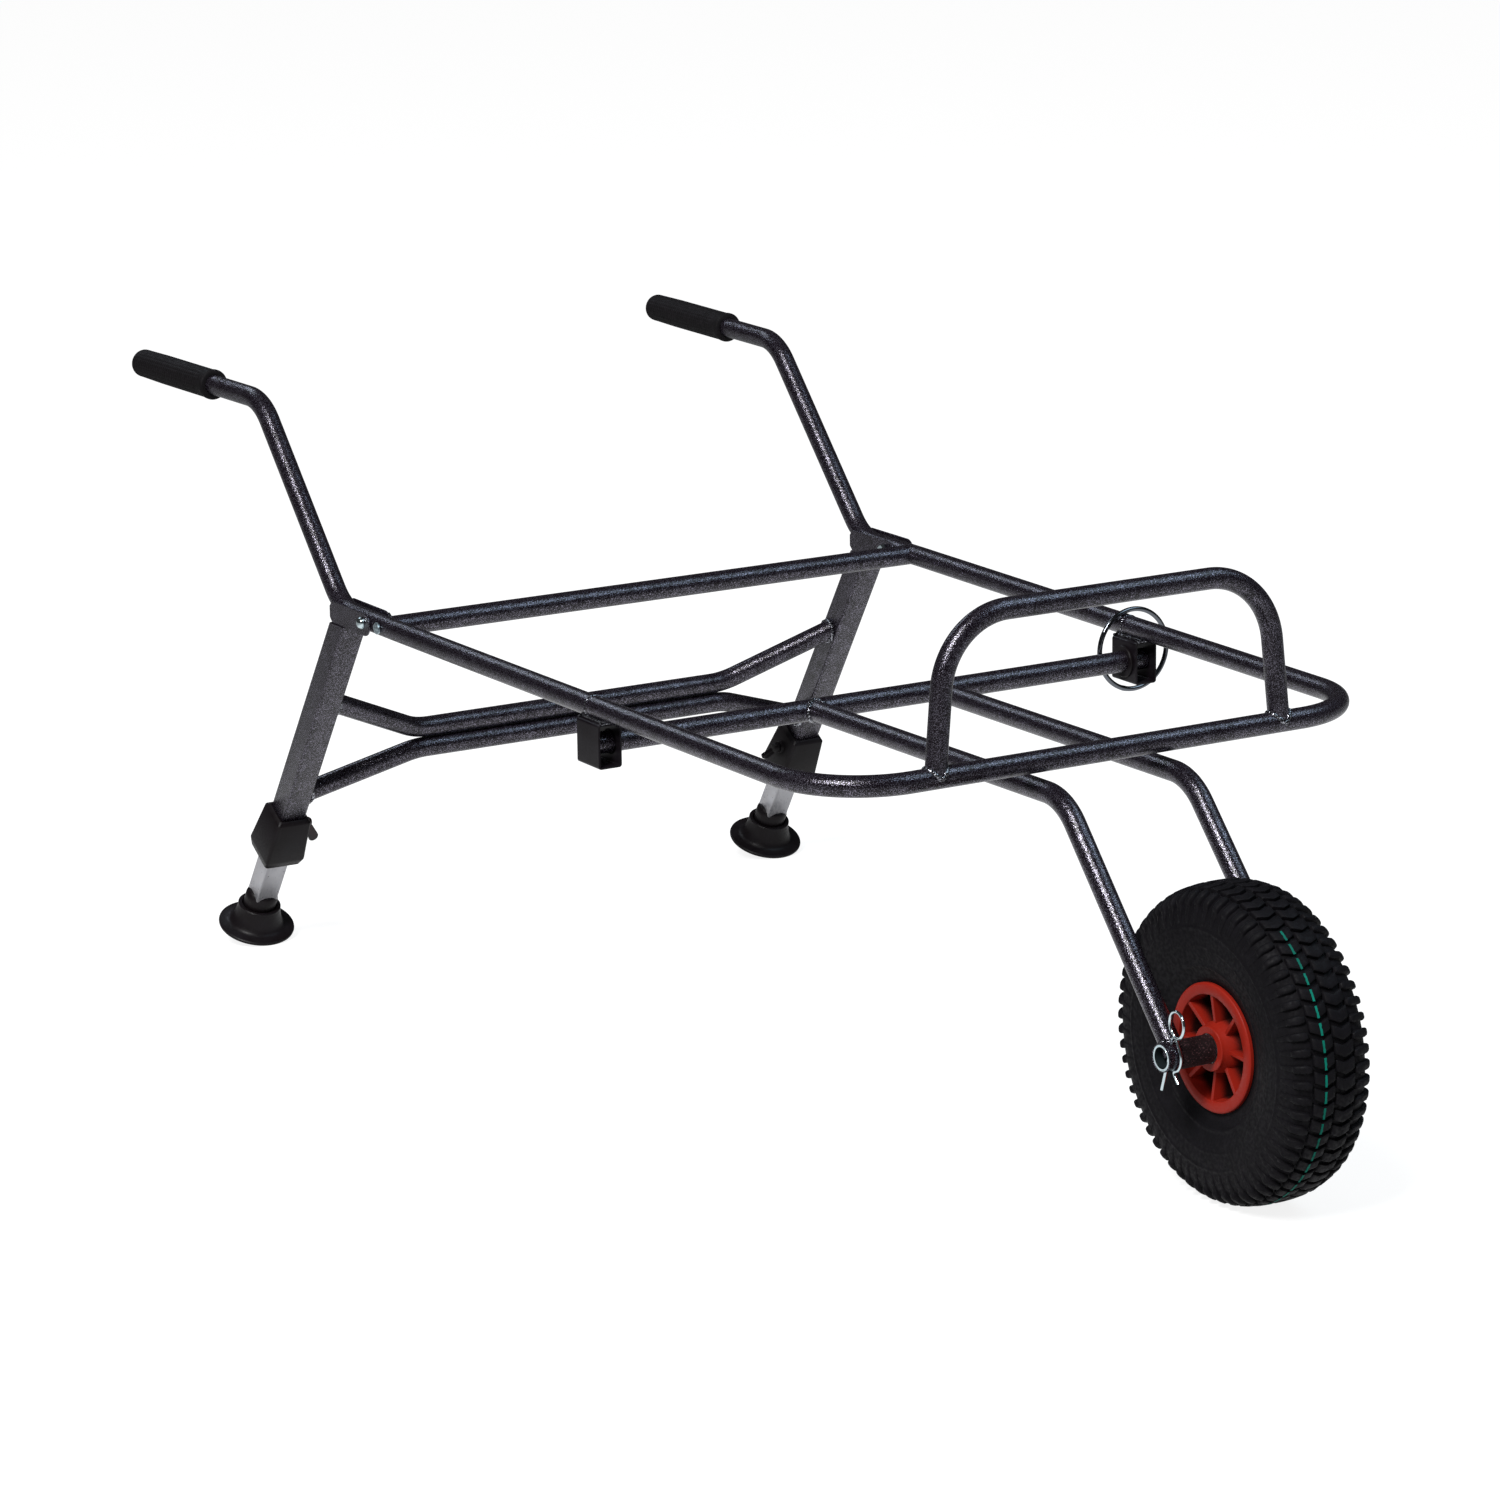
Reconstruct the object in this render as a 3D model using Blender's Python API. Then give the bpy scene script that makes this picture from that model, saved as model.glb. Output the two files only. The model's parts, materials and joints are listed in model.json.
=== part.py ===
"""Folding one-wheel transport cart: tube frame, swinging wheel fork and folding telescopic legs.

Metres, +Z up. The wheel is at the front, towards -Y, and the handles are at the rear, towards +Y.
Right and left are those of the person who holds the handles: right is -X and left is +X.
Design coordinates have Y = 0 on the wheel axle and Z = 0 on the ground.
"""
import math

import bmesh
import bpy
from mathutils import Matrix, Vector

# Common values
GAP = 0.0003
TUBE_SIDES = 12
ROUND_SIDES = 16

# Wheel, a 4.00-4 tyre on a four inch rim
TYRE_RADIUS = 0.150
TYRE_WIDTH = 0.093
TYRE_CROWN = 0.022
TYRE_WALL = 0.0045
TREAD_DEPTH = 0.0045
GROOVE_TAPER = 0.05
BEAD_WIDTH = 0.008
LUG_COUNT = 60
RIM_FLANGE_RADIUS = 0.0617
RIM_SEAT_RADIUS = 0.0508
RIM_WIDTH = 0.070
RIM_FLANGE = 0.0055
RIM_WALL = 0.0030
RIM_WEB = 0.0040
RIB_COUNT = 8
RIB_WIDTH = 0.0042
RIB_DRAFT = math.radians(0.6)
HUB_LENGTH = 0.075
HUB_RADIUS = 0.0212
BEARING_RADIUS = 0.0170
BEARING_WIDTH = 0.012
VALVE_RADIUS = 0.0040
VALVE_LENGTH = 0.026
VALVE_OFFSET = 0.012
TUBE_FLOOR = 0.0010
TUBE_CLEARANCE = 0.0005
INNER_TUBE_WALL = 0.0025
TUBE_STATIONS = 24

# Axle and fork
AXLE_RADIUS = 0.0115
AXLE_BORE = 0.0100
AXLE_LENGTH = 0.180
SLEEVE_WALL = 0.0017
SLEEVE_LENGTH = 0.0325
FORK_TUBE = 0.0200
FORK_WALL = 0.0015
FORK_BEND_Y = 0.1771
FORK_BEND_Z = 0.3555
FORK_BEND_HALF = 0.0720
FORK_BEND_RADIUS = 0.062
FOLD_Y = 0.6165
FOLD_Z = 0.3620
CROSS_TUBE = 0.0220
CROSS_WALL = 0.0015
CLIP_WIRE = 0.0030
CLIP_LEAN = math.radians(18.8)
CLIP_PIN_BELOW = 0.036
CLIP_LOOP_RADIUS = 0.0123
CLIP_LOOP_HEIGHT = 0.0335
CLIP_INSET = 0.0095

# Main frame: rails that bend up into the handles, front loop and hoop
RAIL_TUBE = 0.0220
RAIL_WALL = 0.0007
FRONT_TUBE = 0.0200
FRONT_WALL = 0.0012
FRONT_Y = 0.2047
FRONT_Z = 0.3865
FRONT_HALF_WIDTH = 0.3105
FRONT_CORNER_RADIUS = 0.090
SEAM_Y = 0.6260
FRONT_PLUG_LENGTH = 0.060
RAIL_HALF_WIDTH = 0.3240
RAIL_SLOPE = math.radians(1.39)
TOE_Y = 1.0300
KNEE_RUN = 0.1209
KNEE_Y = TOE_Y + KNEE_RUN
SHAFT_RUN = 0.1774
ELBOW_Y = KNEE_Y + SHAFT_RUN
SHAFT_SLOPE = math.radians(48.7)
HANDLE_HALF_WIDTH = 0.3319
HANDLE_LENGTH = 0.2890
HANDLE_SLOPE = math.radians(1.47)
RAIL_BEND_RADIUS = 0.062
GRIP_RADIUS = 0.0155
GRIP_LENGTH = 0.178
GRIP_FLANGE_RADIUS = 0.0175
GRIP_FLANGE = 0.004
GRIP_END_WALL = 0.004
HOOP_TUBE = 0.0200
HOOP_WALL = 0.0015
HOOP_HEIGHT = 0.1490
HOOP_FOOT_HALF = 0.1955
HOOP_TOP_HALF = 0.1811
HOOP_CORNER_RADIUS = 0.074

# Sockets under the rails for the folding cross tube
SOCKET_LENGTH = 0.0430
SOCKET_WIDTH = 0.0260
SOCKET_HEIGHT = 0.0450
SOCKET_WALL = 0.0020
SOCKET_CORNER = 0.0040
BUSH_WALL = 0.0016
BUSH_FLANGE_RADIUS = 0.0150
BUSH_FLANGE = 0.0026

# Rear crossbar between the rails
CROSSBAR_RUN = 0.0205
CROSSBAR_Y = TOE_Y + CROSSBAR_RUN
CROSSBAR_WALL = 0.0015
CROSSBAR_PLUG_LENGTH = 0.026
CROSSBAR_SCREW_RADIUS = 0.0030
CROSSBAR_SCREW_HEAD_RADIUS = 0.0060
CROSSBAR_SCREW_HEAD = 0.0028

# Folding legs
PIVOT_RUN = 0.0533
PIVOT_Y = TOE_Y + PIVOT_RUN
PIVOT_BOLT_RADIUS = 0.0040
PIVOT_HEAD_RADIUS = 0.0078
PIVOT_HEAD_HEIGHT = 0.0045
PIVOT_NUT_RADIUS = 0.0072
PIVOT_NUT_HEIGHT = 0.0065
BRACKET_WALL = 0.0020
BRACKET_REACH = 0.0213
BRACKET_LENGTH = 0.0747
BRACKET_WEB_START = 0.0240
BRACKET_CORNER = 0.0060
LEG_LEAN = math.radians(34.07)
LEG_AXIS_OFFSET = 0.0410
LEG_TUBE = 0.0280
LEG_WALL = 0.0012
LEG_CORNER = 0.0030
LEG_SPLAY = 0.0130
LEG_TOP = 0.0100
LEG_END = 0.3655
INNER_TUBE = 0.0250
INNER_WALL = 0.0015
INNER_TOP = 0.1700
BRACE_TUBE = 0.0220
BRACE_WALL = 0.0015
BRACE_BEND_HALF = 0.1950
BRACE_BEND_RADIUS = 0.060
BRACE_MEETING = 0.2365
BRACE_UPPER_END = 0.1535
BRACE_LOWER_END = 0.3020
CLAMP_TOP = 0.3220
CLAMP_LENGTH = 0.0655
CLAMP_TOP_SIZE = 0.0400
CLAMP_END_SIZE = 0.0470
CLAMP_CHAMFER = 0.0040
CLAMP_SCREW_ALONG = 0.3460
CLAMP_SCREW_RADIUS = 0.0030
CLAMP_KNOB_RADIUS = 0.0060
CLAMP_KNOB_HEIGHT = 0.0100
CLAMP_WING_SPAN = 0.0240
CLAMP_WING_THICKNESS = 0.0040
CLAMP_BOSS_RADIUS = 0.0070
CLAMP_BOSS_HEIGHT = 0.0120

# Swivel feet
FOOT_RADIUS = 0.0420
FOOT_TILT = math.radians(22.4)
FOOT_FLANGE = 0.0032
FOOT_CUP_RADIUS = 0.0235
FOOT_BALL_HEIGHT = 0.0300
FOOT_BALL_CLEARANCE = 0.0009
PLUG_RADIUS = 0.0180
PLUG_HEIGHT = 0.0195
PLUG_SOCKET = 0.0100

# Strap ring hung on the left rail
RING_RADIUS = 0.0420
RING_WIRE = 0.0054
RING_SHIFT = 0.0080
RING_STATIONS = 24

# Derived places
AXLE = Vector((0.0, 0.0, TYRE_RADIUS))
FOLD = Vector((0.0, FOLD_Y, FOLD_Z))
SLEEVE_BORE = AXLE_RADIUS + GAP
SLEEVE_RADIUS = SLEEVE_BORE + SLEEVE_WALL
SLEEVE_OUTER = AXLE_LENGTH / 2.0 + 0.0005
SLEEVE_INNER = SLEEVE_OUTER - SLEEVE_LENGTH
FORK_HALF = (SLEEVE_OUTER + SLEEVE_INNER) / 2.0


def rail_half_width(y):
    """Half of the distance between the rail axes, ahead of the bend at TOE_Y."""
    share = (y - FRONT_Y) / (TOE_Y - FRONT_Y)
    return FRONT_HALF_WIDTH + (RAIL_HALF_WIDTH - FRONT_HALF_WIDTH) * min(share, 1.0)


def both_sides():
    """Names of the two sides with their directions along X."""
    return zip(("right", "left"), (-1, 1))


def rail_height(y):
    """Height of the rail axis, which rises evenly from the front tube to the knee."""
    return FRONT_Z + (y - FRONT_Y) * math.tan(RAIL_SLOPE)


KNEE_Z = rail_height(KNEE_Y)
ELBOW_Z = KNEE_Z + (ELBOW_Y - KNEE_Y) * math.tan(SHAFT_SLOPE)
HANDLE_END_Y = ELBOW_Y + HANDLE_LENGTH
HANDLE_END_Z = ELBOW_Z + HANDLE_LENGTH * math.tan(HANDLE_SLOPE)
MIDDLE_Y = (HANDLE_END_Y - TYRE_RADIUS) / 2.0
PIVOT = Vector((0.0, PIVOT_Y, rail_height(PIVOT_Y)))
LEG_RIGHT_ANGLE = Vector((0.0, math.cos(LEG_LEAN), math.sin(LEG_LEAN)))
LEG_START = PIVOT + LEG_RIGHT_ANGLE * LEG_AXIS_OFFSET


# Scene and object helpers
def clear_scene():
    for old in list(bpy.data.objects):
        bpy.data.objects.remove(old, do_unlink=True)


def make_material(name, colour, roughness, metallic):
    material = bpy.data.materials.new(name)
    material.use_nodes = True
    shader = material.node_tree.nodes["Principled BSDF"]
    shader.inputs["Base Color"].default_value = (*colour, 1.0)
    shader.inputs["Roughness"].default_value = roughness
    shader.inputs["Metallic"].default_value = metallic
    return material


def make_pivot(name, place, parent=None):
    """An empty at a design coordinate that carries the pieces of one body."""
    pivot = bpy.data.objects.new(name, None)
    pivot["design"] = place
    bpy.context.collection.objects.link(pivot)
    if parent:
        pivot.parent = parent
        pivot.location = place - Vector(parent["design"])
    return pivot


def finish_mesh(name, bm, origin):
    """Turn design coordinates into a mesh round its own origin, faces outward and smooth."""
    bmesh.ops.recalc_face_normals(bm, faces=bm.faces)
    bmesh.ops.translate(bm, verts=bm.verts, vec=-origin)
    mesh = bpy.data.meshes.new(name)
    bm.to_mesh(mesh)
    bm.free()
    mesh.shade_smooth()
    mesh.set_sharp_from_angle(angle=math.radians(35))
    return mesh


def add_piece(name, bm, material, parent):
    """Object whose origin is that of the body it belongs to."""
    piece = bpy.data.objects.new(name, finish_mesh(name, bm, Vector(parent["design"])))
    piece.data.materials.append(material)
    piece.parent = parent
    bpy.context.collection.objects.link(piece)
    return piece


def combine(piece, bm, operation):
    """Add the solid in bm to the piece, or take it away, with a Boolean that stays on it."""
    number = len(piece.modifiers) + 1
    name = "guide_%s_%d" % (piece.name, number)
    guide = bpy.data.objects.new(name, finish_mesh(name, bm, Vector(piece.parent["design"])))
    guide.parent = piece.parent
    guide.hide_render = True
    guide.display_type = 'WIRE'
    bpy.context.collection.objects.link(guide)
    boolean = piece.modifiers.new("boolean_%d" % number, 'BOOLEAN')
    boolean.operation = operation
    boolean.solver = 'EXACT'
    boolean.object = guide


def cut(piece, bm):
    combine(piece, bm, 'DIFFERENCE')


def join(piece, bm):
    combine(piece, bm, 'UNION')


# Shape helpers: every solid is a loft through rings of points
def loft(rings, closed=False):
    """Skin a run of equal rings. Open runs are capped; closed ones join the last to the first."""
    bm = bmesh.new()
    loops = [[bm.verts.new(point) for point in ring] for ring in rings]
    pairs = list(zip(loops, loops[1:]))
    if closed:
        pairs.append((loops[-1], loops[0]))
    for first, second in pairs:
        for index in range(len(first)):
            after = (index + 1) % len(first)
            bm.faces.new((first[index], first[after], second[after], second[index]))
    if not closed:
        bm.faces.new(loops[0])
        bm.faces.new(loops[-1])
    return bm


def frame_along(origin, direction, across):
    """Matrix whose local Z runs along direction and whose local X stays near across."""
    z_axis = direction.normalized()
    y_axis = z_axis.cross(across).normalized()
    x_axis = y_axis.cross(z_axis)
    matrix = Matrix((x_axis, y_axis, z_axis)).transposed().to_4x4()
    matrix.translation = origin
    return matrix


def circle(radius, height, sides):
    step = 2.0 * math.pi / sides
    return [Vector((radius * math.cos(i * step), radius * math.sin(i * step), height)) for i in range(sides)]


def square(size, corner, height, across=None):
    """Rounded rectangle, three points to a corner."""
    half_x = size / 2.0 - corner
    half_y = (across or size) / 2.0 - corner
    centres = ((half_x, half_y), (-half_x, half_y), (-half_x, -half_y), (half_x, -half_y))
    ring = []
    for quarter, (x, y) in enumerate(centres):
        for third in range(3):
            angle = math.radians(90.0 * quarter + 45.0 * third)
            ring.append(Vector((x + corner * math.cos(angle), y + corner * math.sin(angle), height)))
    return ring


def turned(frame, profile, sides, closed):
    """Solid of revolution about the frame's Z from (radius, height) pairs."""
    return loft([[frame @ point for point in circle(r, z, sides)] for r, z in profile], closed)


def ring_profile(outer, inner, start, end):
    return [(outer, start), (outer, end), (inner, end), (inner, start)]


def rounded_path(corners, radius, steps=4):
    """Points of a bent tube's axis: straight runs between corners, arcs of one radius at them."""
    path = [Vector(corners[0])]
    for before, corner, after in zip(corners, corners[1:], corners[2:]):
        corner = Vector(corner)
        back = (Vector(before) - corner).normalized()
        ahead = (Vector(after) - corner).normalized()
        turn = math.pi - back.angle(ahead)
        if turn < math.radians(3.0):
            path.append(corner)
            continue
        reach = radius * math.tan(turn / 2.0)
        centre = corner + (back + ahead).normalized() * radius / math.cos(turn / 2.0)
        start = corner + back * reach - centre
        axis = start.cross(corner + ahead * reach - centre).normalized()
        for index in range(steps + 1):
            path.append(centre + Matrix.Rotation(turn * index / steps, 3, axis) @ start)
    path.append(Vector(corners[-1]))
    return path


def path_rings(path, radius, across, sides):
    rings = []
    for index, point in enumerate(path):
        before = path[max(index - 1, 0)]
        after = path[min(index + 1, len(path) - 1)]
        frame = frame_along(point, after - before, across)
        rings.append([frame @ corner for corner in circle(radius, 0.0, sides)])
    return rings


def bent_tube(path, diameter, wall, across, sides=TUBE_SIDES):
    """Hollow round tube along a path, open at both ends."""
    outer = path_rings(path, diameter / 2.0, across, sides)
    inner = path_rings(path, diameter / 2.0 - wall, across, sides)
    return loft(outer + inner[::-1], closed=True)


def rod(start, end, radius, sides=ROUND_SIDES):
    """Solid round bar, circumscribed so that what passes through its hole keeps its gap."""
    frame = frame_along(start, end - start, Vector((0.3, 0.2, 1.0)))
    wide = radius / math.cos(math.pi / sides)
    return turned(frame, [(wide, 0.0), (wide, (end - start).length)], sides, closed=False)


def x_frame(place, sign=1.0):
    """Frame whose Z points along X, for everything on a cross axis."""
    return frame_along(place, Vector((sign, 0.0, 0.0)), Vector((0.0, 0.0, 1.0)))


# Wheel
def tyre_outline():
    """Half of the tyre's section from bead to crown as (x, radius, tread share)."""
    half = TYRE_WIDTH / 2.0
    bead_x = RIM_WIDTH / 2.0 - RIM_FLANGE - GAP
    outline = [(bead_x - BEAD_WIDTH, RIM_SEAT_RADIUS + GAP, 0.0), (bead_x, RIM_SEAT_RADIUS + GAP, 0.0)]
    outline.append((bead_x, RIM_FLANGE_RADIUS + 0.001, 0.0))
    outline.append((half - 0.003, TYRE_RADIUS - TYRE_CROWN - 0.020, 0.0))
    for angle in (8.0, 38.0, 70.0):
        x = half * math.cos(math.radians(angle))
        rise = min(math.sin(math.radians(angle)) / math.sin(math.radians(70.0)), 1.0)
        outline.append((x, TYRE_RADIUS - TYRE_CROWN * (1.0 - rise), 1.0))
    return outline


def cavity_outline(inset):
    """Right half of the tyre's hollow from crown to bead as (x, radius), drawn in by inset."""
    half = TYRE_WIDTH / 2.0 - TYRE_WALL - 0.004
    crown = TYRE_RADIUS - TREAD_DEPTH - TYRE_WALL - 0.001 - inset
    outline = [(half * 0.60 - inset, crown - 0.005), (half - inset, TYRE_RADIUS - TYRE_CROWN - 0.014)]
    outline.append((half * 0.62 - inset, RIM_FLANGE_RADIUS + 0.001))
    return outline


def tyre_section():
    """Closed section of the tyre on a lug."""
    outer = [(x, r) for x, r, _ in tyre_outline()]
    inner = cavity_outline(0.0)
    return outer + [(-x, r) for x, r in outer[::-1] + inner[::-1]] + inner


def groove_section():
    """The tread's part of the section between two lugs, from right to left."""
    band = [(x * (1.0 - GROOVE_TAPER), r - TREAD_DEPTH) for x, r, tread in tyre_outline() if tread]
    return band + [(-x, r) for x, r in band[::-1]]


def axle_ring(section, angle):
    """Points of an (x, radius) section turned to an angle about the axle."""
    turn = Matrix.Rotation(angle, 3, 'X')
    return [AXLE + turn @ Vector((x, 0.0, -r)) for x, r in section]


def around_axle(sections):
    """Join sections, given with their angles, into a ring."""
    return loft([axle_ring(section, angle) for angle, section in sections], closed=True)


def make_tyre(parent, material):
    """Ring with a full station on each lug and a station of the tread alone in each groove."""
    bm = bmesh.new()
    pitch = 2.0 * math.pi / LUG_COUNT
    section = tyre_section()
    valley = groove_section()
    first = len(tyre_outline()) - len(valley) // 2
    tread = range(first, first + len(valley))
    lugs = []
    grooves = []
    for index in range(LUG_COUNT):
        lugs.append([bm.verts.new(point) for point in axle_ring(section, index * pitch)])
        grooves.append([bm.verts.new(point) for point in axle_ring(valley, (index + 0.5) * pitch)])
    for index, groove in enumerate(grooves):
        here = lugs[index]
        ahead = lugs[(index + 1) % LUG_COUNT]
        for number in range(len(section)):
            after = (number + 1) % len(section)
            low = number - first
            if number in tread and after in tread:
                bm.faces.new((here[number], here[after], groove[low + 1], groove[low]))
                bm.faces.new((groove[low], groove[low + 1], ahead[after], ahead[number]))
            elif number in tread or after in tread:
                valley_point = groove[low] if number in tread else groove[low + 1]
                bm.faces.new((here[number], here[after], valley_point))
                bm.faces.new((ahead[after], ahead[number], valley_point))
                plain = after if number in tread else number
                bm.faces.new((here[plain], ahead[plain], valley_point))
            else:
                bm.faces.new((here[number], here[after], ahead[after], ahead[number]))
    add_piece("tyre", bm, material, parent)


def rim_section(ribbed):
    """Closed section of the rim: hub, web or rib, barrel and flanges."""
    half = RIM_WIDTH / 2.0
    hub_half = HUB_LENGTH / 2.0
    barrel = RIM_SEAT_RADIUS - RIM_WALL
    lip = RIM_SEAT_RADIUS - 0.0011
    deep_in = half - 0.0025 if ribbed else RIM_WEB / 2.0
    deep_hub = hub_half - 0.0035 if ribbed else RIM_WEB / 2.0
    seat = half - RIM_FLANGE
    right = [(hub_half, BEARING_RADIUS + GAP), (hub_half, HUB_RADIUS), (deep_hub, HUB_RADIUS)]
    right += [(deep_in, barrel), (half, lip), (half, RIM_FLANGE_RADIUS - 0.001)]
    right += [(seat, RIM_FLANGE_RADIUS - 0.001), (seat, RIM_SEAT_RADIUS)]
    bearing_end = hub_half - BEARING_WIDTH - GAP
    bore = [(bearing_end, BEARING_RADIUS + GAP), (bearing_end, AXLE_RADIUS + 0.0015)]
    left = [(-x, r) for x, r in right]
    return bore[::-1] + right + left[::-1] + [(-x, r) for x, r in bore]


def make_rim(parent, material):
    sections = []
    pitch = 2.0 * math.pi / RIB_COUNT
    rib = RIB_WIDTH / 2.0 / RIM_SEAT_RADIUS * 1.4
    for index in range(RIB_COUNT):
        middle = index * pitch
        sections.append((middle - rib, rim_section(True)))
        sections.append((middle + rib, rim_section(True)))
        sections.append((middle + rib + RIB_DRAFT, rim_section(False)))
        sections.append((middle + pitch / 2.0, rim_section(False)))
        sections.append((middle + pitch - rib - RIB_DRAFT, rim_section(False)))
    rim = add_piece("rim", around_axle(sections), material, parent)
    inward = valve_direction()
    seat = AXLE + inward * RIM_SEAT_RADIUS - Vector((VALVE_OFFSET, 0.0, 0.0))
    cut(rim, rod(seat + inward * 0.004, seat - inward * 0.008, VALVE_RADIUS + GAP, 12))


def valve_direction():
    """Radial direction of the valve, half way between two ribs."""
    return Matrix.Rotation(math.pi / RIB_COUNT * 5.0, 3, 'X') @ Vector((0.0, 0.0, -1.0))


def tube_section(inset):
    """Closed section of the inflated tube: the tyre's hollow, closed by a floor on the rim."""
    right = cavity_outline(inset)
    right.append((right[-1][0] - 0.002, RIM_SEAT_RADIUS + TUBE_FLOOR + inset))
    return right + [(-x, r) for x, r in right[::-1]]


def make_inner_tube(parent, material):
    """Inflated tube that fills the tyre, open where its valve goes in."""
    angles = [2.0 * math.pi * index / TUBE_STATIONS for index in range(TUBE_STATIONS)]
    skin = around_axle([(angle, tube_section(TUBE_CLEARANCE)) for angle in angles])
    tube = add_piece("inner_tube", skin, material, parent)
    cut(tube, around_axle([(angle, tube_section(TUBE_CLEARANCE + INNER_TUBE_WALL)) for angle in angles]))
    outward = valve_direction()
    start = AXLE + outward * (RIM_SEAT_RADIUS - 0.006) - Vector((VALVE_OFFSET, 0.0, 0.0))
    cut(tube, rod(start, start + outward * 0.014, VALVE_RADIUS + GAP, 12))


def make_wheel(parent, looks):
    make_tyre(parent, looks["tyre"])
    make_inner_tube(parent, looks["rubber"])
    make_rim(parent, looks["red"])
    for side, sign in both_sides():
        start = HUB_LENGTH / 2.0 - BEARING_WIDTH
        profile = ring_profile(BEARING_RADIUS, AXLE_RADIUS + GAP, start, start + BEARING_WIDTH)
        bearing = turned(x_frame(AXLE, sign), profile, ROUND_SIDES, closed=True)
        add_piece("wheel_bearing_" + side, bearing, looks["steel"], parent)
    inward = valve_direction()
    top = AXLE + inward * (RIM_SEAT_RADIUS + 0.0035) - Vector((VALVE_OFFSET, 0.0, 0.0))
    frame = frame_along(top, -inward, Vector((1.0, 0.0, 0.0)))
    stem = [(VALVE_RADIUS, 0.0), (VALVE_RADIUS, VALVE_LENGTH * 0.62), (VALVE_RADIUS * 0.8, VALVE_LENGTH * 0.7)]
    stem.append((VALVE_RADIUS * 0.8, VALVE_LENGTH))
    add_piece("valve_stem", turned(frame, stem, TUBE_SIDES, closed=False), looks["rubber"], parent)


# Fork, axle and clips
def clip_axes():
    """Up along the clip's pin, and forward at right angles to it."""
    up = Vector((0.0, -math.sin(CLIP_LEAN), math.cos(CLIP_LEAN)))
    forward = Vector((0.0, -math.cos(CLIP_LEAN), -math.sin(CLIP_LEAN)))
    return up, forward


def clip_path(sign):
    """Wire of the spring clip: straight pin, round eye, then the arm that hugs the sleeve."""
    up, forward = clip_axes()
    pin_x = sign * (SLEEVE_OUTER - CLIP_INSET)
    arm_x = pin_x + sign * (CLIP_WIRE + 4.0 * GAP)
    hug = SLEEVE_RADIUS + CLIP_WIRE / 2.0 + 2.0 * GAP
    flat = [(-CLIP_PIN_BELOW, 0.0), (CLIP_LOOP_HEIGHT - CLIP_LOOP_RADIUS - 0.002, 0.0)]
    for step in range(11):
        angle = math.radians(-55.0 + 290.0 * step / 10)
        along = CLIP_LOOP_HEIGHT + CLIP_LOOP_RADIUS * math.sin(angle)
        flat.append((along, CLIP_LOOP_RADIUS * math.cos(angle)))
    flat.append((CLIP_LOOP_HEIGHT - CLIP_LOOP_RADIUS - 0.001, 0.0))
    for step in range(5):
        angle = math.radians(52.0 - 105.0 * step / 4)
        flat.append((hug * math.sin(angle), hug * math.cos(angle)))
    flat.append((-0.0190, 0.0185))
    path = []
    for index, (along, out) in enumerate(flat):
        share = min(max((index - 4) / 6.0, 0.0), 1.0)
        x = pin_x + (arm_x - pin_x) * share
        path.append(AXLE + up * along + forward * out + Vector((x, 0.0, 0.0)))
    return path


def clip_hole(sign):
    up, _ = clip_axes()
    middle = AXLE + Vector((sign * (SLEEVE_OUTER - CLIP_INSET), 0.0, 0.0))
    reach = SLEEVE_RADIUS + 0.004
    return rod(middle - up * reach, middle + up * reach, CLIP_WIRE / 2.0 + GAP, 12)


def make_fork(parent, looks):
    paint = looks["paint"]
    reach = rail_half_width(FOLD_Y) + SOCKET_WIDTH / 2.0 - SOCKET_WALL - GAP
    ends = [FOLD - Vector((reach, 0.0, 0.0)), FOLD + Vector((reach, 0.0, 0.0))]
    tube = bent_tube(ends, CROSS_TUBE, CROSS_WALL, Vector((0.0, 0.0, 1.0)))
    add_piece("fork_cross_tube", tube, paint, parent)
    for side, sign in both_sides():
        corners = [(sign * FORK_HALF, FOLD_Y, FOLD_Z)]
        corners.append((sign * FORK_BEND_HALF, FORK_BEND_Y, FORK_BEND_Z))
        corners.append((sign * FORK_HALF, AXLE.y, AXLE.z))
        path = rounded_path(corners, FORK_BEND_RADIUS)
        leg = bent_tube(path, FORK_TUBE, FORK_WALL, Vector((1.0, 0.0, 0.0)))
        leg = add_piece("fork_leg_" + side, leg, paint, parent)
        wide = Vector((FORK_TUBE, 0.0, 0.0))
        middle = Vector((sign * FORK_HALF, 0.0, 0.0))
        cut(leg, rod(FOLD + middle - wide, FOLD + middle + wide, CROSS_TUBE / 2.0 + GAP))
        cut(leg, rod(AXLE + middle - wide, AXLE + middle + wide, SLEEVE_RADIUS + GAP))
        profile = ring_profile(SLEEVE_RADIUS, SLEEVE_BORE, SLEEVE_INNER, SLEEVE_OUTER)
        sleeve = turned(x_frame(AXLE, sign), profile, ROUND_SIDES, closed=True)
        sleeve = add_piece("axle_sleeve_" + side, sleeve, paint, parent)
        cut(sleeve, clip_hole(sign))
        start = HUB_LENGTH / 2.0 + GAP
        profile = ring_profile(SLEEVE_RADIUS, SLEEVE_BORE, start, SLEEVE_INNER - GAP)
        spacer = turned(x_frame(AXLE, sign), profile, ROUND_SIDES, closed=True)
        add_piece("axle_spacer_" + side, spacer, looks["plastic"], parent)
        wire = loft(path_rings(clip_path(sign), CLIP_WIRE / 2.0, Vector((1.0, 0.0, 0.0)), 6))
        add_piece("axle_clip_" + side, wire, looks["zinc"], parent)
    profile = ring_profile(AXLE_RADIUS, AXLE_BORE, -AXLE_LENGTH / 2.0, AXLE_LENGTH / 2.0)
    axle = add_piece("axle_tube", turned(x_frame(AXLE), profile, ROUND_SIDES, closed=True), looks["zinc"], parent)
    for _, sign in both_sides():
        cut(axle, clip_hole(sign))


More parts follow.
